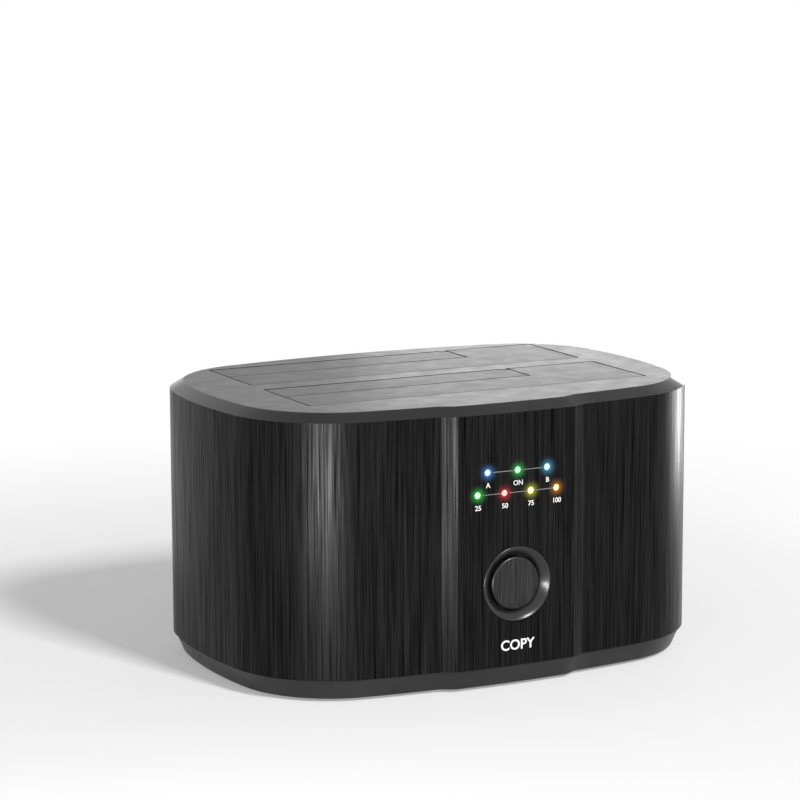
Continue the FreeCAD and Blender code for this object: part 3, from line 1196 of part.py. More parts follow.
def make_screws():
    case = []
    for index, (x, y) in enumerate(TOWERS):
        case.append(make_screw(f"case_screw_{index}", x, y, "foot_standoff + case_head_sink",
                               "case_screw_radius", "case_screw_head", "case_head_height",
                               "case_screw_length", True))
    grouped("base_screws", case)
    board = []
    for index, (x, y) in enumerate(STANDOFFS):
        board.append(make_screw(f"board_screw_{index}", x, y, BOARD_TOP, "small_screw_radius",
                                "small_screw_head", "small_head_height", "small_screw_length", False))
    grouped("board_screws", board)
    well = []
    for index, (x, y) in enumerate(EARS):
        well.append(make_screw(f"well_screw_{index}", x, y, f"{COLLAR_FOOT} - well_wall",
                               "small_screw_radius", "small_screw_head", "small_head_height",
                               "small_screw_length - 0.3", True))
    grouped("well_screws", well)
    upright_screws = []
    for index, x in enumerate(("-front_screw_x", "front_screw_x")):
        head = doc.addObject("Part::Prism", f"front_screw_head_{index}")
        bind(head, Circumradius="small_screw_head", Height="small_head_height")
        shank = doc.addObject("Part::Prism", f"front_screw_shank_{index}")
        bind(shank, Circumradius="small_screw_radius", Height="small_screw_length - 0.3")
        for piece, start, turn in ((head, FRONT_BOARD_BACK, -90), (shank, FRONT_BOARD_BACK, 90)):
            piece.Polygon = 8
            piece.Placement = Placement(Vector(), Rotation(Vector(1, 0, 0), turn))
            bind(piece, Placement__Base__x=x, Placement__Base__y=start, Placement__Base__z="front_screw_z")
        upright_screws.append(fused(f"front_screw_{index}", [head, shank]))
    grouped("front_board_screws", upright_screws)


def check_and_write():
    doc.recompute()
    faults = [item.Name for item in doc.Objects if "Invalid" in item.State or "Error" in item.State]
    if faults:
        raise RuntimeError("features failed: " + ", ".join(faults))
    for item in doc.Objects:
        if item.TypeId == "PartDesign::Pocket":
            before = item.BaseFeature.Shape.Volume
            if item.Shape.Volume > before - 0.01:
                raise RuntimeError(f"{item.Name} cuts nothing")
    os.makedirs("parts", exist_ok=True)
    for item in NODES:
        shape = item.Shape
        if shape.isNull() or not shape.isValid():
            raise RuntimeError(f"{item.Label} has no valid shape")
        shape.exportStep(f"parts/{item.Label}.step")
        print(f"{item.Label:26s} solids {len(shape.Solids)}  volume {shape.Volume:10.2f}")


make_top_cover()
make_outer_sleeve()
make_base_tray()
for bay in BAYS:
    make_well(bay)
    make_large_flap(bay)
    make_small_flap(bay)
    make_pin(bay, "large")
    make_pin(bay, "small")
    make_torsion_spring(bay)
    make_sata_socket(bay)
    make_sata_contacts(bay)
make_main_board()
make_front_board()
make_board_parts()
make_button_ring()
make_copy_button()
make_tact_switch()
for label, x, z in LIGHTS:
    make_light(label, x, z)
make_usb_socket()
make_dc_jack()
make_power_switch()
make_feet()
make_screws()
check_and_write()
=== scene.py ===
import json
import math
import bpy
import bmesh
from mathutils import Matrix, Vector


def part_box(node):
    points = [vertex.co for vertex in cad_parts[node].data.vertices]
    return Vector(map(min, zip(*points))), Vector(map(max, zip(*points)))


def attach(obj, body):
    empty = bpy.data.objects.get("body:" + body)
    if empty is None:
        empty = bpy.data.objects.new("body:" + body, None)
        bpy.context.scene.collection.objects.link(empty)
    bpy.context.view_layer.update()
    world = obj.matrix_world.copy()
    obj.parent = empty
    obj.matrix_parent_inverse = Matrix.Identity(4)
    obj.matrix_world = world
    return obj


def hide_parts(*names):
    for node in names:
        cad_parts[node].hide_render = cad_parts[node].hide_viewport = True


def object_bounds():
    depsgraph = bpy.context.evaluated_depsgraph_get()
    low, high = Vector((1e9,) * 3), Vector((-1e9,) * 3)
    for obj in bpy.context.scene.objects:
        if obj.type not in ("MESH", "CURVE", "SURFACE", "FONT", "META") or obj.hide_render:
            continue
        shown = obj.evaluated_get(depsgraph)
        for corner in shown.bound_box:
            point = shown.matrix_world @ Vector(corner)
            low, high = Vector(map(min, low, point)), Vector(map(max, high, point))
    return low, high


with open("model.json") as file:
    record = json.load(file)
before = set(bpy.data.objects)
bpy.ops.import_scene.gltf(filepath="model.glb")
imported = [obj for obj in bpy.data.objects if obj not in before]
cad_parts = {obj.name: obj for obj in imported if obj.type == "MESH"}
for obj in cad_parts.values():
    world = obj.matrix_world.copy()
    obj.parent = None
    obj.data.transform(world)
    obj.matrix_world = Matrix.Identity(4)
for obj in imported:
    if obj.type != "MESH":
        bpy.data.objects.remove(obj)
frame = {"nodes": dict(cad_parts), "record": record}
cad_low, cad_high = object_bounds()
nodes = frame["nodes"]
body_of_node = {name: body
                for body, names in frame["record"]["behaviour"]["bodies"].items()
                for name in names}
slot_of_node = {row["node"]: row["material_slot"] for row in frame["record"]["subparts"]}
MM = 0.001

# The bowed front of the housing, in metres, as in the construction, and the heights of its parts.
BOW = 280.0 * MM
HALF_DEPTH = 49.7 * MM
PAD_PROUD = 1.8 * MM
PAD_FACE = cad_low.y
MIDDLE_Y = PAD_FACE + PAD_PROUD + HALF_DEPTH
COVER_TOP = cad_high.z
COVER_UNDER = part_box("outer_sleeve")[1].z
SKIRT_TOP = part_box("outer_sleeve")[0].z
TRAY_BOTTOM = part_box("base_tray")[0].z
SAME = 0.01 * MM


# ---------------------------------------------------------------- shader helpers

class Shader:
    """A node tree with short calls for the nodes that the finishes share."""

    def __init__(self, name):
        self.material = bpy.data.materials.new(name)
        self.material.use_nodes = True
        self.tree = self.material.node_tree
        self.surface = self.tree.nodes["Principled BSDF"]
        self.place = self.tree.nodes.new("ShaderNodeTexCoord").outputs["Object"]

    def set(self, **values):
        for key, value in values.items():
            self.surface.inputs[key.replace("_", " ")].default_value = value
        return self

    def link(self, source, socket):
        self.tree.links.new(source, self.surface.inputs[socket])

    def stretched(self, scale):
        """The object's own coordinates, scaled along each axis."""
        mapping = self.tree.nodes.new("ShaderNodeMapping")
        mapping.inputs["Scale"].default_value = scale
        self.tree.links.new(self.place, mapping.inputs["Vector"])
        return mapping.outputs["Vector"]

    def noise(self, scale, stretch=(1, 1, 1), detail=2.0, roughness=0.5):
        texture = self.tree.nodes.new("ShaderNodeTexNoise")
        texture.inputs["Scale"].default_value = scale
        texture.inputs["Detail"].default_value = detail
        texture.inputs["Roughness"].default_value = roughness
        self.tree.links.new(self.stretched(stretch), texture.inputs["Vector"])
        return texture.outputs["Fac"]

    def ramp(self, source, low, high, start=0.3, stop=0.7):
        """Maps a texture from start..stop to low..high, as a value or a colour."""
        if isinstance(low, (int, float)):
            spread = self.tree.nodes.new("ShaderNodeMapRange")
            for key, value in (("From Min", start), ("From Max", stop), ("To Min", low), ("To Max", high)):
                spread.inputs[key].default_value = value
            self.tree.links.new(source, spread.inputs["Value"])
            return spread.outputs["Result"]
        spread = self.tree.nodes.new("ShaderNodeValToRGB")
        spread.color_ramp.elements[0].position = start
        spread.color_ramp.elements[1].position = stop
        spread.color_ramp.elements[0].color = (*low, 1)
        spread.color_ramp.elements[1].color = (*high, 1)
        self.tree.links.new(source, spread.inputs["Fac"])
        return spread.outputs["Color"]

    def maths(self, operation, first, second=None):
        step = self.tree.nodes.new("ShaderNodeMath")
        step.operation = operation
        for socket, value in zip(step.inputs, (first, second)):
            if isinstance(value, (int, float)):
                socket.default_value = value
            elif value is not None:
                self.tree.links.new(value, socket)
        return step.outputs[0]

    def bump(self, height, strength, distance):
        relief = self.tree.nodes.new("ShaderNodeBump")
        relief.inputs["Strength"].default_value = strength
        relief.inputs["Distance"].default_value = distance
        self.tree.links.new(height, relief.inputs["Height"])
        self.link(relief.outputs["Normal"], "Normal")


def moulded(name, dark, light, rough, grain=0.25 * MM, relief=0.012 * MM, specular=0.4):
    """Moulded plastic: cloudy colour, uneven gloss and a fine grain."""
    shader = Shader(name).set(Specular_IOR_Level=specular)
    cloud = shader.noise(60.0, detail=3.0)
    shader.link(shader.ramp(cloud, dark, light), "Base Color")
    shader.link(shader.ramp(shader.noise(180.0, detail=3.0), rough[0], rough[1]), "Roughness")
    shader.bump(shader.noise(1 / grain, detail=2.0), 0.5, relief)
    return shader.material


def metal(name, dark, light, rough, stretch=(1, 1, 1), scale=2500.0):
    shader = Shader(name).set(Metallic=1.0)
    streak = shader.noise(scale, stretch, detail=3.0)
    shader.link(shader.ramp(streak, dark, light), "Base Color")
    shader.link(shader.ramp(streak, rough[0], rough[1]), "Roughness")
    shader.bump(streak, 0.2, 0.01 * MM)
    return shader.material


LENS_RADIUS = 0.9 * MM
# Reach and strength of the painted glow that stands in for the lamps' light on the skin round them.
PAINTED_GLOW_REACH = 3.6 * MM
PAINTED_GLOW_STRENGTH = 0.34


def painted_led_glow(shader, lights, reach, strength):
    """A painted glow: emission on the skin round the small lamps stands in for their light, fading with
    distance.
    """
    total = None
    for place, colour in lights:
        apart = shader.tree.nodes.new("ShaderNodeVectorMath")
        apart.operation = "DISTANCE"
        shader.tree.links.new(shader.place, apart.inputs[0])
        apart.inputs[1].default_value = place
        fade = shader.ramp(apart.outputs["Value"], 1.0, 0.0, LENS_RADIUS, reach)
        near = shader.maths("POWER", fade, 3.0)
        tint = shader.tree.nodes.new("ShaderNodeMix")
        tint.data_type = "RGBA"
        tint.inputs["A"].default_value = (0, 0, 0, 1)
        tint.inputs["B"].default_value = (*colour, 1)
        shader.tree.links.new(near, tint.inputs["Factor"])
        if total is None:
            total = tint.outputs["Result"]
        else:
            both = shader.tree.nodes.new("ShaderNodeVectorMath")
            shader.tree.links.new(total, both.inputs[0])
            shader.tree.links.new(tint.outputs["Result"], both.inputs[1])
            total = both.outputs["Vector"]
    if total is not None:
        shader.link(total, "Emission Color")
        shader.set(Emission_Strength=strength)


DARK_GRAIN = (0.0006, 0.0006, 0.0006)
LIGHT_GRAIN = (0.009, 0.009, 0.00927)
GRAIN_FROM, GRAIN_TO = 0.38, 0.66


def brushed(name, lights=(), sheen=(0.02, 0.15)):
    """Black coated skin with an upright brushed grain, and a painted glow of the lights on the skin round
    them.
    """
    shader = Shader(name)
    fine = shader.noise(4200.0, (1, 1, 0.010), detail=2.0)
    middle = shader.noise(1900.0, (1, 1, 0.016), detail=3.0, roughness=0.6)
    broad = shader.noise(500.0, (1, 1, 0.05), detail=2.0)
    grain = shader.maths("ADD", shader.maths("MULTIPLY", fine, 0.50), shader.maths("MULTIPLY", middle, 0.38))
    grain = shader.maths("ADD", grain, shader.maths("MULTIPLY", broad, 0.12))
    shader.link(shader.ramp(grain, DARK_GRAIN, LIGHT_GRAIN, GRAIN_FROM, GRAIN_TO), "Base Color")
    shader.link(shader.ramp(grain, *sheen, GRAIN_FROM, GRAIN_TO), "Specular IOR Level")
    shader.link(shader.ramp(grain, 0.26, 0.38, 0.62, 0.38), "Roughness")
    shader.bump(grain, 0.30, 0.02 * MM)
    # Painted glow: emission round each lamp stands in for the light it throws on the skin.
    painted_led_glow(shader, lights, PAINTED_GLOW_REACH, PAINTED_GLOW_STRENGTH)
    return shader.material


def lens(name, colour):
    """A tinted lens with its lamp lit behind it, paler towards the middle."""
    shader = Shader(name).set(Specular_IOR_Level=0.5, Roughness=0.12)
    cloud = shader.noise(900.0)
    dim = tuple(0.6 * part for part in colour)
    shader.link(shader.ramp(cloud, dim, colour), "Base Color")
    facing = shader.tree.nodes.new("ShaderNodeSeparateXYZ")
    normal = shader.tree.nodes.new("ShaderNodeTexCoord").outputs["Normal"]
    shader.tree.links.new(normal, facing.inputs[0])
    outward = shader.maths("MULTIPLY", facing.outputs["Y"], -1.0)
    pale = tuple(part + 0.72 * (1.0 - part) for part in colour)
    shader.link(shader.ramp(outward, colour, pale, 0.55, 0.99), "Emission Color")
    shader.set(Emission_Strength=1.0)
    return shader.material


LAMP_COLOURS = {
    "lens_blue": (0.13, 0.42, 0.98),
    "lens_green": (0.10, 0.85, 0.16),
    "lens_sky": (0.16, 0.62, 0.95),
    "lens_red": (0.95, 0.06, 0.05),
    "lens_yellow": (0.88, 0.90, 0.12),
    "lens_orange": (0.98, 0.36, 0.06),
}
LIGHTS = {name: slot_of_node[name] for name in nodes if name.endswith("_led")}


def front_middle(node):
    """The middle of a node's front face."""
    low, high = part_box(node)
    return Vector(((low.x + high.x) / 2, low.y, (low.z + high.z) / 2))


SATIN_DARK, SATIN_LIGHT = (0.017, 0.0172, 0.018), (0.024, 0.0245, 0.026)
FINISHES = {
    "cover_black": moulded("satin_black", SATIN_DARK, SATIN_LIGHT, (0.33, 0.40)),
    # The sleeve's skin carries the painted glow round its lamps.
    "sleeve_brushed_black": brushed(
        "brushed_black", [(front_middle(name), LAMP_COLOURS[slot]) for name, slot in LIGHTS.items()]),
    "base_black": moulded(
        "base_black", (0.010, 0.010, 0.0105), (0.016, 0.016, 0.017), (0.32, 0.42), specular=0.25),
    "well_black": moulded("well_black", (0.008, 0.008, 0.008), (0.013, 0.013, 0.013), (0.5, 0.62)),
    "flap_black": moulded("flap_black", SATIN_DARK, SATIN_LIGHT, (0.36, 0.43)),
    "hinge_steel": metal("hinge_steel", (0.45, 0.45, 0.46), (0.6, 0.6, 0.61), (0.22, 0.34), (0.05, 1, 1)),
    "connector_black": moulded(
        "connector_black", (0.008, 0.008, 0.008), (0.014, 0.014, 0.014), (0.4, 0.5)),
    "contact_gold": metal("contact_gold", (0.74, 0.55, 0.24), (0.83, 0.64, 0.30), (0.2, 0.3)),
    "board_green": moulded("board_green", (0.02, 0.11, 0.05), (0.03, 0.15, 0.07), (0.3, 0.4)),
    "chip_black": moulded("chip_black", (0.012, 0.012, 0.012), (0.02, 0.02, 0.02), (0.5, 0.6)),
    "capacitor_aluminium": metal(
        "capacitor_aluminium", (0.68, 0.68, 0.69), (0.78, 0.78, 0.79), (0.28, 0.4)),
    "choke_grey": moulded("choke_grey", (0.10, 0.10, 0.10), (0.14, 0.14, 0.14), (0.55, 0.7)),
    "ring_black": moulded("ring_black", (0.008, 0.008, 0.0085), (0.013, 0.013, 0.0135), (0.2, 0.28)),
    "button_brushed_black": brushed("button_brushed", sheen=(0.25, 0.7)),
    "port_steel": metal("port_steel", (0.55, 0.55, 0.57), (0.68, 0.68, 0.70), (0.2, 0.32), (1, 0.05, 1)),
    "port_insert_white": moulded(
        "port_insert_white", (0.70, 0.70, 0.68), (0.78, 0.78, 0.76), (0.4, 0.5)),
    "switch_black": moulded("switch_black", (0.012, 0.012, 0.012), (0.018, 0.018, 0.018), (0.4, 0.5)),
    "rocker_black": moulded("rocker_black", (0.012, 0.012, 0.012), (0.018, 0.018, 0.018), (0.22, 0.3)),
    "foot_rubber": moulded(
        "foot_rubber", (0.02, 0.02, 0.02), (0.03, 0.03, 0.03), (0.75, 0.9), specular=0.2),
    "screw_steel": metal("screw_steel", (0.42, 0.42, 0.43), (0.56, 0.56, 0.57), (0.25, 0.38)),
}
FINISHES.update({name: lens(name, colour) for name, colour in LAMP_COLOURS.items()})
CHAMFER_GLOSS = moulded(
    "polished_black", (0.006, 0.006, 0.0065), (0.010, 0.010, 0.0105), (0.10, 0.15), specular=0.25)
WHITE_PRINT = moulded("white_print", (0.50, 0.50, 0.50), (0.60, 0.60, 0.60), (0.45, 0.55))
GREY_PRINT = moulded("grey_print", (0.10, 0.10, 0.10), (0.14, 0.14, 0.14), (0.45, 0.55))

for name, item in nodes.items():
    for slot in item.material_slots:
        slot.material = FINISHES[slot_of_node[name]]


# ---------------------------------------------------------------- shape helpers

def new_piece(name, body, material, mesh=None):
    piece = bpy.data.objects.new(name, mesh or bpy.data.meshes.new(name))
    bpy.context.scene.collection.objects.link(piece)
    piece.data.materials.clear()
    piece.data.materials.append(material)
    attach(piece, body)
    return piece


def shade(piece, angle=33.0):
    """Smooth shading that keeps the real corners and leaves broad faces flat."""
    piece.data.shade_smooth()
    piece.data.set_sharp_from_angle(angle=math.radians(angle))
    weigh = piece.modifiers.new("even_shading", "WEIGHTED_NORMAL")
    weigh.keep_sharp = True
    weigh.weight = 60


WELD = 0.001 * MM
ROUNDED_FROM = math.radians(28)


def softened(node, width, chosen=lambda edge: True, segments=3, gloss=None):
    """A copy of a CAD node with its chosen corners rounded, to stand for it.

    gloss is a second material and the test for the faces that take it.
    """
    mesh = nodes[node].data.copy()
    if "custom_normal" in mesh.attributes:
        mesh.attributes.remove(mesh.attributes["custom_normal"])
    slot = slot_of_node[node]
    piece = new_piece(node + "_finished", body_of_node[node], FINISHES[slot], mesh)
    bm = bmesh.new()
    bm.from_mesh(mesh)
    bmesh.ops.remove_doubles(bm, verts=bm.verts, dist=WELD)
    sharp = [edge for edge in bm.edges
             if len(edge.link_faces) == 2 and edge.calc_face_angle(0) > ROUNDED_FROM and chosen(edge)]
    if sharp:
        bmesh.ops.bevel(bm, geom=sharp, offset=width, offset_type="OFFSET", segments=segments,
                        profile=0.5, affect="EDGES", clamp_overlap=False, loop_slide=False)
    if gloss:
        piece.data.materials.append(gloss[0])
        for face in bm.faces:
            if gloss[1](face):
                face.material_index = 1
    for vert in bm.verts:
        vert.co.z = min(vert.co.z, COVER_TOP)
    bm.to_mesh(mesh)
    bm.free()
    mesh.update()
    shade(piece)
    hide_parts(node)


def middle_of(edge):
    return (edge.verts[0].co + edge.verts[1].co) / 2


def is_rim(edge, levels):
    """An edge that runs level at one of the given heights."""
    first, second = (vert.co.z for vert in edge.verts)
    return any(abs(first - level) < SAME and abs(second - level) < SAME for level in levels)


# ---------------------------------------------------------------- camera, floor and light

CAMERA_AZIMUTH = math.radians(-27.03)
CAMERA_HEIGHT = math.radians(9.848)
CAMERA_ROLL = math.radians(-0.178)
CAMERA_DISTANCE = 844.96 * MM
LENS_LENGTH = 135.177
SENSOR_WIDTH = 36.0
AIM = Vector((0, MIDDLE_Y, 35.0 * MM))
AIM_ASIDE = -7.961 * MM
AIM_UP = 35.003 * MM

FLOOR_REACH = 6.0
FLOOR_WHITE_NEAR = 0.30
WHITER_FROM, WHITE_FROM = 0.16, 0.34
FILL = 0.25
LAMP_AIM = Vector((0, 0, 0.04))
# Each lamp: azimuth in degrees from the front towards the right, height, distance, width, tall, radiance.
LAMPS = {
    "key": (12.0, 1.55, 1.9, 0.40, 0.40, 108.0),
    "front_strip": (-37.0, 0.016, 0.30, 0.15, 0.03, 50.0),
    "right_strip": (98.0, 0.020, 0.33, 0.11, 0.04, 18.0),
    "back_strip": (140.0, 0.12, 0.55, 0.30, 0.14, 3.0),
}


def place_camera():
    back = Vector((math.sin(CAMERA_AZIMUTH) * math.cos(CAMERA_HEIGHT),
                   -math.cos(CAMERA_AZIMUTH) * math.cos(CAMERA_HEIGHT), math.sin(CAMERA_HEIGHT)))
    level = Vector((0, 0, 1)).cross(back).normalized()
    rise = back.cross(level)
    right = level * math.cos(CAMERA_ROLL) + rise * math.sin(CAMERA_ROLL)
    up = rise * math.cos(CAMERA_ROLL) - level * math.sin(CAMERA_ROLL)
    data = bpy.data.cameras.new("camera")
    data.sensor_width = SENSOR_WIDTH
    data.lens = LENS_LENGTH
    data.clip_start = 0.01
    data.clip_end = 50.0
    camera = bpy.data.objects.new("camera", data)
    bpy.context.scene.collection.objects.link(camera)
    place = AIM + right * AIM_ASIDE + up * AIM_UP + back * CAMERA_DISTANCE
    turn = Matrix((right, up, back)).transposed().to_4x4()
    camera.matrix_world = Matrix.Translation(place) @ turn
    bpy.context.scene.camera = camera


def shown_directly(tree):
    """1 for what the camera sees directly, in a reflection or through something clear."""
    path = tree.nodes.new("ShaderNodeLightPath")
    total = path.outputs["Is Camera Ray"]
    for kind in ("Is Glossy Ray", "Is Transmission Ray"):
        step = tree.nodes.new("ShaderNodeMath")
        step.operation = "MAXIMUM"
        tree.links.new(total, step.inputs[0])
        tree.links.new(path.outputs[kind], step.inputs[1])
        total = step.outputs[0]
    return total


def place_floor():
    """A plain pale floor that keeps the shadow near the object and turns plain white further away."""
    mesh = bpy.data.meshes.new("floor")
    bm = bmesh.new()
    corners = ((-1, -1), (1, -1), (1, 1), (-1, 1))
    bm.faces.new([bm.verts.new((x * FLOOR_REACH, y * FLOOR_REACH, 0)) for x, y in corners])
    bm.to_mesh(mesh)
    bm.free()
    floor = bpy.data.objects.new("floor", mesh)
    bpy.context.scene.collection.objects.link(floor)
    shader = Shader("pale_floor").set(Roughness=0.9, Specular_IOR_Level=0.1)
    shader.link(shader.ramp(shader.noise(3.0), (0.90, 0.90, 0.90), (0.92, 0.92, 0.92)), "Base Color")
    tree = shader.tree
    away = tree.nodes.new("ShaderNodeVectorMath")
    away.operation = "LENGTH"
    tree.links.new(shader.place, away.inputs[0])
    share = shader.ramp(away.outputs["Value"], FLOOR_WHITE_NEAR, 1.0, WHITER_FROM, WHITE_FROM)
    share = shader.maths("MULTIPLY", share, shown_directly(tree))
    white = tree.nodes.new("ShaderNodeEmission")
    blend = tree.nodes.new("ShaderNodeMixShader")
    tree.links.new(share, blend.inputs["Fac"])
    tree.links.new(shader.surface.outputs[0], blend.inputs[1])
    tree.links.new(white.outputs[0], blend.inputs[2])
    tree.links.new(blend.outputs[0], tree.nodes["Material Output"].inputs["Surface"])
    mesh.materials.append(shader.material)


def place_world():
    """White where it is seen, and a dimmer fill as light."""
    world = bpy.data.worlds.new("studio")
    world.use_nodes = True
    tree = world.node_tree
    mix = tree.nodes.new("ShaderNodeMix")
    mix.data_type = "RGBA"
    tree.links.new(shown_directly(tree), mix.inputs["Factor"])
    mix.inputs["A"].default_value = (FILL, FILL, FILL, 1)
    mix.inputs["B"].default_value = (1, 1, 1, 1)
    tree.links.new(mix.outputs["Result"], tree.nodes["Background"].inputs["Color"])
    bpy.context.scene.world = world


def soft_light(name, azimuth, height, distance, width, tall, radiance):
    """A rectangular softbox that faces the object."""
    turn = math.radians(azimuth)
    place = Vector((math.sin(turn) * distance, -math.cos(turn) * distance, height))
    data = bpy.data.lights.new(name, "AREA")
    data.shape = "RECTANGLE"
    data.size = width
    data.size_y = tall
    data.energy = radiance * math.pi * width * tall
    lamp = bpy.data.objects.new(name, data)
    bpy.context.scene.collection.objects.link(lamp)
    lamp.location = place
    lamp.rotation_euler = (LAMP_AIM - place).to_track_quat("-Z", "Y").to_euler()
    lamp.visible_camera = False


place_camera()
place_floor()
place_world()
for name, setting in LAMPS.items():
    soft_light(name, *setting)

bpy.context.scene.view_settings.view_transform = "Standard"


# ---------------------------------------------------------------- the housing

FLAPS = [f"{bay}_{kind}_flap" for bay in ("front", "rear") for kind in ("large", "small")]
BAY_MARGIN = 2.0 * MM
BAYS_LOW = Vector([min(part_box(flap)[0][axis] for flap in FLAPS) - BAY_MARGIN for axis in range(3)])
BAYS_HIGH = Vector([max(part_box(flap)[1][axis] for flap in FLAPS) + BAY_MARGIN for axis in range(3)])
SWITCH_BEZEL = 1.2 * MM


def is_outer_rim(edge):
    """The corner between the top and the chamfer, all round and clear of the bays."""
    place = middle_of(edge)
    over_bays = BAYS_LOW.x < place.x < BAYS_HIGH.x and BAYS_LOW.y < place.y < BAYS_HIGH.y
    return is_rim(edge, (COVER_TOP,)) and not over_bays


def on_chamfer(face):
    return 0.2 < face.normal.z < 0.97 and face.calc_center_median().z > COVER_UNDER


softened("top_cover", 0.3 * MM, is_outer_rim, gloss=(CHAMFER_GLOSS, on_chamfer))
softened("base_tray", 0.35 * MM, lambda edge: is_rim(edge, (SKIRT_TOP, TRAY_BOTTOM)))
for flap in FLAPS:
    softened(flap, 0.2 * MM, lambda edge: is_rim(edge, (COVER_TOP,)), segments=2)
softened("power_switch_frame", 0.2 * MM,
         lambda edge: middle_of(edge).y > cad_high.y - SWITCH_BEZEL, segments=2)
softened("power_rocker", 0.2 * MM, segments=2)
softened("usb_socket_shell", 0.08 * MM, segments=1)


# ---------------------------------------------------------------- round pieces

def pad_y(x):
    """Depth of the pad's bowed face at x."""
    radius = BOW + PAD_PROUD
    return MIDDLE_Y - HALF_DEPTH + BOW - math.sqrt(radius * radius - x * x)


def lathe(node, centre, profile, segments=96):
    """A piece turned about Y in place of a CAD node.

    The profile lists depth and radius in millimetres, and its ends may lie on the axis.
    """
    slot = slot_of_node[node]
    piece = new_piece(node + "_finished", body_of_node[node], FINISHES[slot])
    bm = bmesh.new()
    rings = []
    for depth, radius in profile:
        ring = []
        for index in range(segments if radius > 0 else 1):
            turn = 2 * math.pi * index / segments
            offset = Vector((radius * math.cos(turn), depth, radius * math.sin(turn))) * MM
            ring.append(bm.verts.new(centre + offset))
        rings.append(ring)
    for first, second in zip(rings, rings[1:]):
        for index in range(segments):
            after = (index + 1) % segments
            corners = []
            for vert in (first[index % len(first)], first[after % len(first)],
                         second[after % len(second)], second[index % len(second)]):
                if vert not in corners:
                    corners.append(vert)
            if len(corners) > 2:
                bm.faces.new(corners)
    bmesh.ops.recalc_face_normals(bm, faces=bm.faces)
    bm.to_mesh(piece.data)
    bm.free()
    shade(piece, 40.0)
    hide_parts(node)


BUTTON = Vector((0, PAD_FACE, (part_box("copy_button")[0].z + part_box("copy_button")[1].z) / 2))
DISH_STEPS = 8
DISH_LIP, DISH_FOOT = (0.22, 9.72), (2.20, 7.60)
DISH_BOW = 1.25


def ring_dish():
    """The ring's hollow from its lip down to the button, a little steeper as it goes."""
    for step in range(DISH_STEPS + 1):
        share = step / DISH_STEPS
        yield (DISH_LIP[0] + (DISH_FOOT[0] - DISH_LIP[0]) * share ** DISH_BOW,
               DISH_LIP[1] + (DISH_FOOT[1] - DISH_LIP[1]) * share)


RING_OUTSIDE = ((2.55, 10.3), (0.35, 10.3))
RING_LIP = ((0.16, 10.18), (0.1, 10.0), (0.12, 9.86))
RING_BACK = ((2.3, 7.55), (3.5, 7.55), (3.5, 11.7), (2.55, 11.7), (2.55, 10.3))
lathe("button_ring", BUTTON, (*RING_OUTSIDE, *RING_LIP, *ring_dish(), *RING_BACK))

BUTTON_FACE = ((1.32, 0), (1.30, 2.0), (1.24, 4.0), (1.14, 6.0))
BUTTON_RIM = ((1.10, 6.55), (1.14, 6.85), (1.28, 7.08), (1.5, 7.2))
BUTTON_BACK = ((3.8, 7.2), (3.8, 8.45), (4.8, 8.45), (4.8, 5.8), (2.5, 5.8), (2.5, 0))
lathe("copy_button", BUTTON, (*BUTTON_FACE, *BUTTON_RIM, *BUTTON_BACK))

LENS_DOME = ((0, 0), (0.03, 0.3), (0.12, 0.6), (0.24, 0.8), (0.42, 0.95))
LENS_BODY, LENS_FLANGE = 0.95, 1.25
FLANGE_THICK = 1.2
for name in LIGHTS:
    depth = (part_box(name)[1].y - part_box(name)[0].y) / MM
    flange = depth - FLANGE_THICK
    lathe(name, front_middle(name),
          (*LENS_DOME, (flange, LENS_BODY), (flange, LENS_FLANGE), (depth, LENS_FLANGE), (depth, 0)),
          segments=32)


# ---------------------------------------------------------------- print on the pad

PRINT_PROUD = 0.02 * MM
CAPITAL_SHARE = 0.72
PRINT_BLOCK = 0.012 * MM


def on_pad(name, material, outline):
    """A thin printed shape that follows the bowed face; the outline mesh lies in its own X and Y."""
    for vert in outline.vertices:
        x, z = vert.co.x, vert.co.y
        vert.co = Vector((x, pad_y(x) - (PRINT_PROUD if vert.co.z > 0 else 0), z))
    piece = bpy.data.objects.new(name, outline)
    bpy.context.scene.collection.objects.link(piece)
    outline.materials.clear()
    outline.materials.append(material)
    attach(piece, body_of_node["outer_sleeve"])


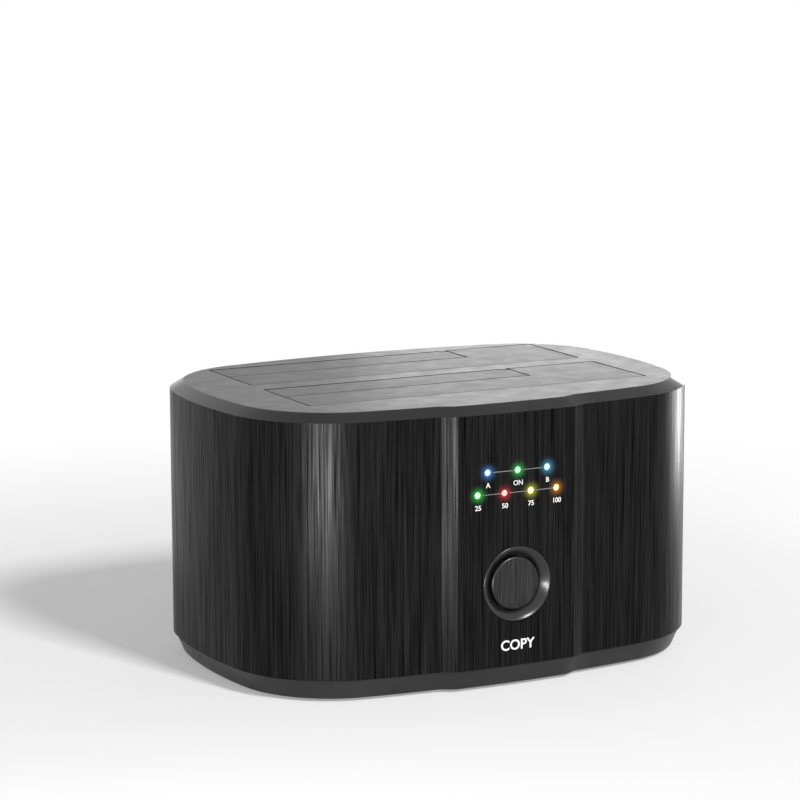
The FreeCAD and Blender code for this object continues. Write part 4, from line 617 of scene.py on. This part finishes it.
def printed_word(name, text, x, z, height, weight):
    """Plain white lettering, centred on x and standing on z; weight thickens its strokes."""
    curve = bpy.data.curves.new(name, "FONT")
    curve.body = text
    curve.size = height / CAPITAL_SHARE
    curve.align_x = "CENTER"
    curve.resolution_u = 4
    curve.offset = weight
    curve.extrude = PRINT_BLOCK
    carrier = bpy.data.objects.new(name + "_curve", curve)
    bpy.context.scene.collection.objects.link(carrier)
    bpy.context.view_layer.update()
    outline = bpy.data.meshes.new_from_object(carrier)
    bpy.data.objects.remove(carrier)
    bpy.data.curves.remove(curve)
    outline.transform(Matrix.Translation((x, z, 0)))
    on_pad(name, WHITE_PRINT, outline)


def printed_line(name, left, right, z):
    """A thin grey rule from left to right at height z, in short steps that follow the bow."""
    outline = bpy.data.meshes.new(name)
    bm = bmesh.new()
    step = (right - left) / LINE_STEPS
    for index in range(LINE_STEPS):
        x0, x1 = left + step * index, left + step * (index + 1)
        low, high = z - LINE_WIDTH / 2, z + LINE_WIDTH / 2
        bm.faces.new([bm.verts.new((x, y, 0)) for x, y in ((x0, low), (x1, low), (x1, high), (x0, high))])
    bmesh.ops.remove_doubles(bm, verts=bm.verts, dist=WELD)
    block = bmesh.ops.extrude_face_region(bm, geom=list(bm.faces))
    raised = [item for item in block["geom"] if isinstance(item, bmesh.types.BMVert)]
    bmesh.ops.translate(bm, verts=raised, vec=(0, 0, PRINT_BLOCK))
    bmesh.ops.recalc_face_normals(bm, faces=bm.faces)
    bm.to_mesh(outline)
    bm.free()
    on_pad(name, GREY_PRINT, outline)


LINE_STEPS = 8
LINE_WIDTH = 0.22 * MM
LINE_GAP = 1.25 * MM
MARK_DROP, MARK_HEIGHT, MARK_WEIGHT = 4.0 * MM, 1.35 * MM, 0.03 * MM
WORD_FOOT, WORD_HEIGHT, WORD_WEIGHT = 10.8 * MM, 2.8 * MM, 0.07 * MM
ROWS = {
    "upper": {"drive_a_led": "A", "power_led": "ON", "drive_b_led": "B"},
    "lower": {"progress_25_led": "25", "progress_50_led": "50",
              "progress_75_led": "75", "progress_100_led": "100"},
}
for row in ROWS.values():
    for name, text in row.items():
        place = front_middle(name)
        printed_word(name + "_label", text, place.x, place.z - MARK_DROP, MARK_HEIGHT, MARK_WEIGHT)
printed_word("button_label", "COPY", 0, WORD_FOOT, WORD_HEIGHT, WORD_WEIGHT)
for key, row in ROWS.items():
    places = [front_middle(name) for name in row]
    for index, (first, second) in enumerate(zip(places, places[1:])):
        printed_line(f"{key}_line_{index}", first.x + LINE_GAP, second.x - LINE_GAP, first.z)
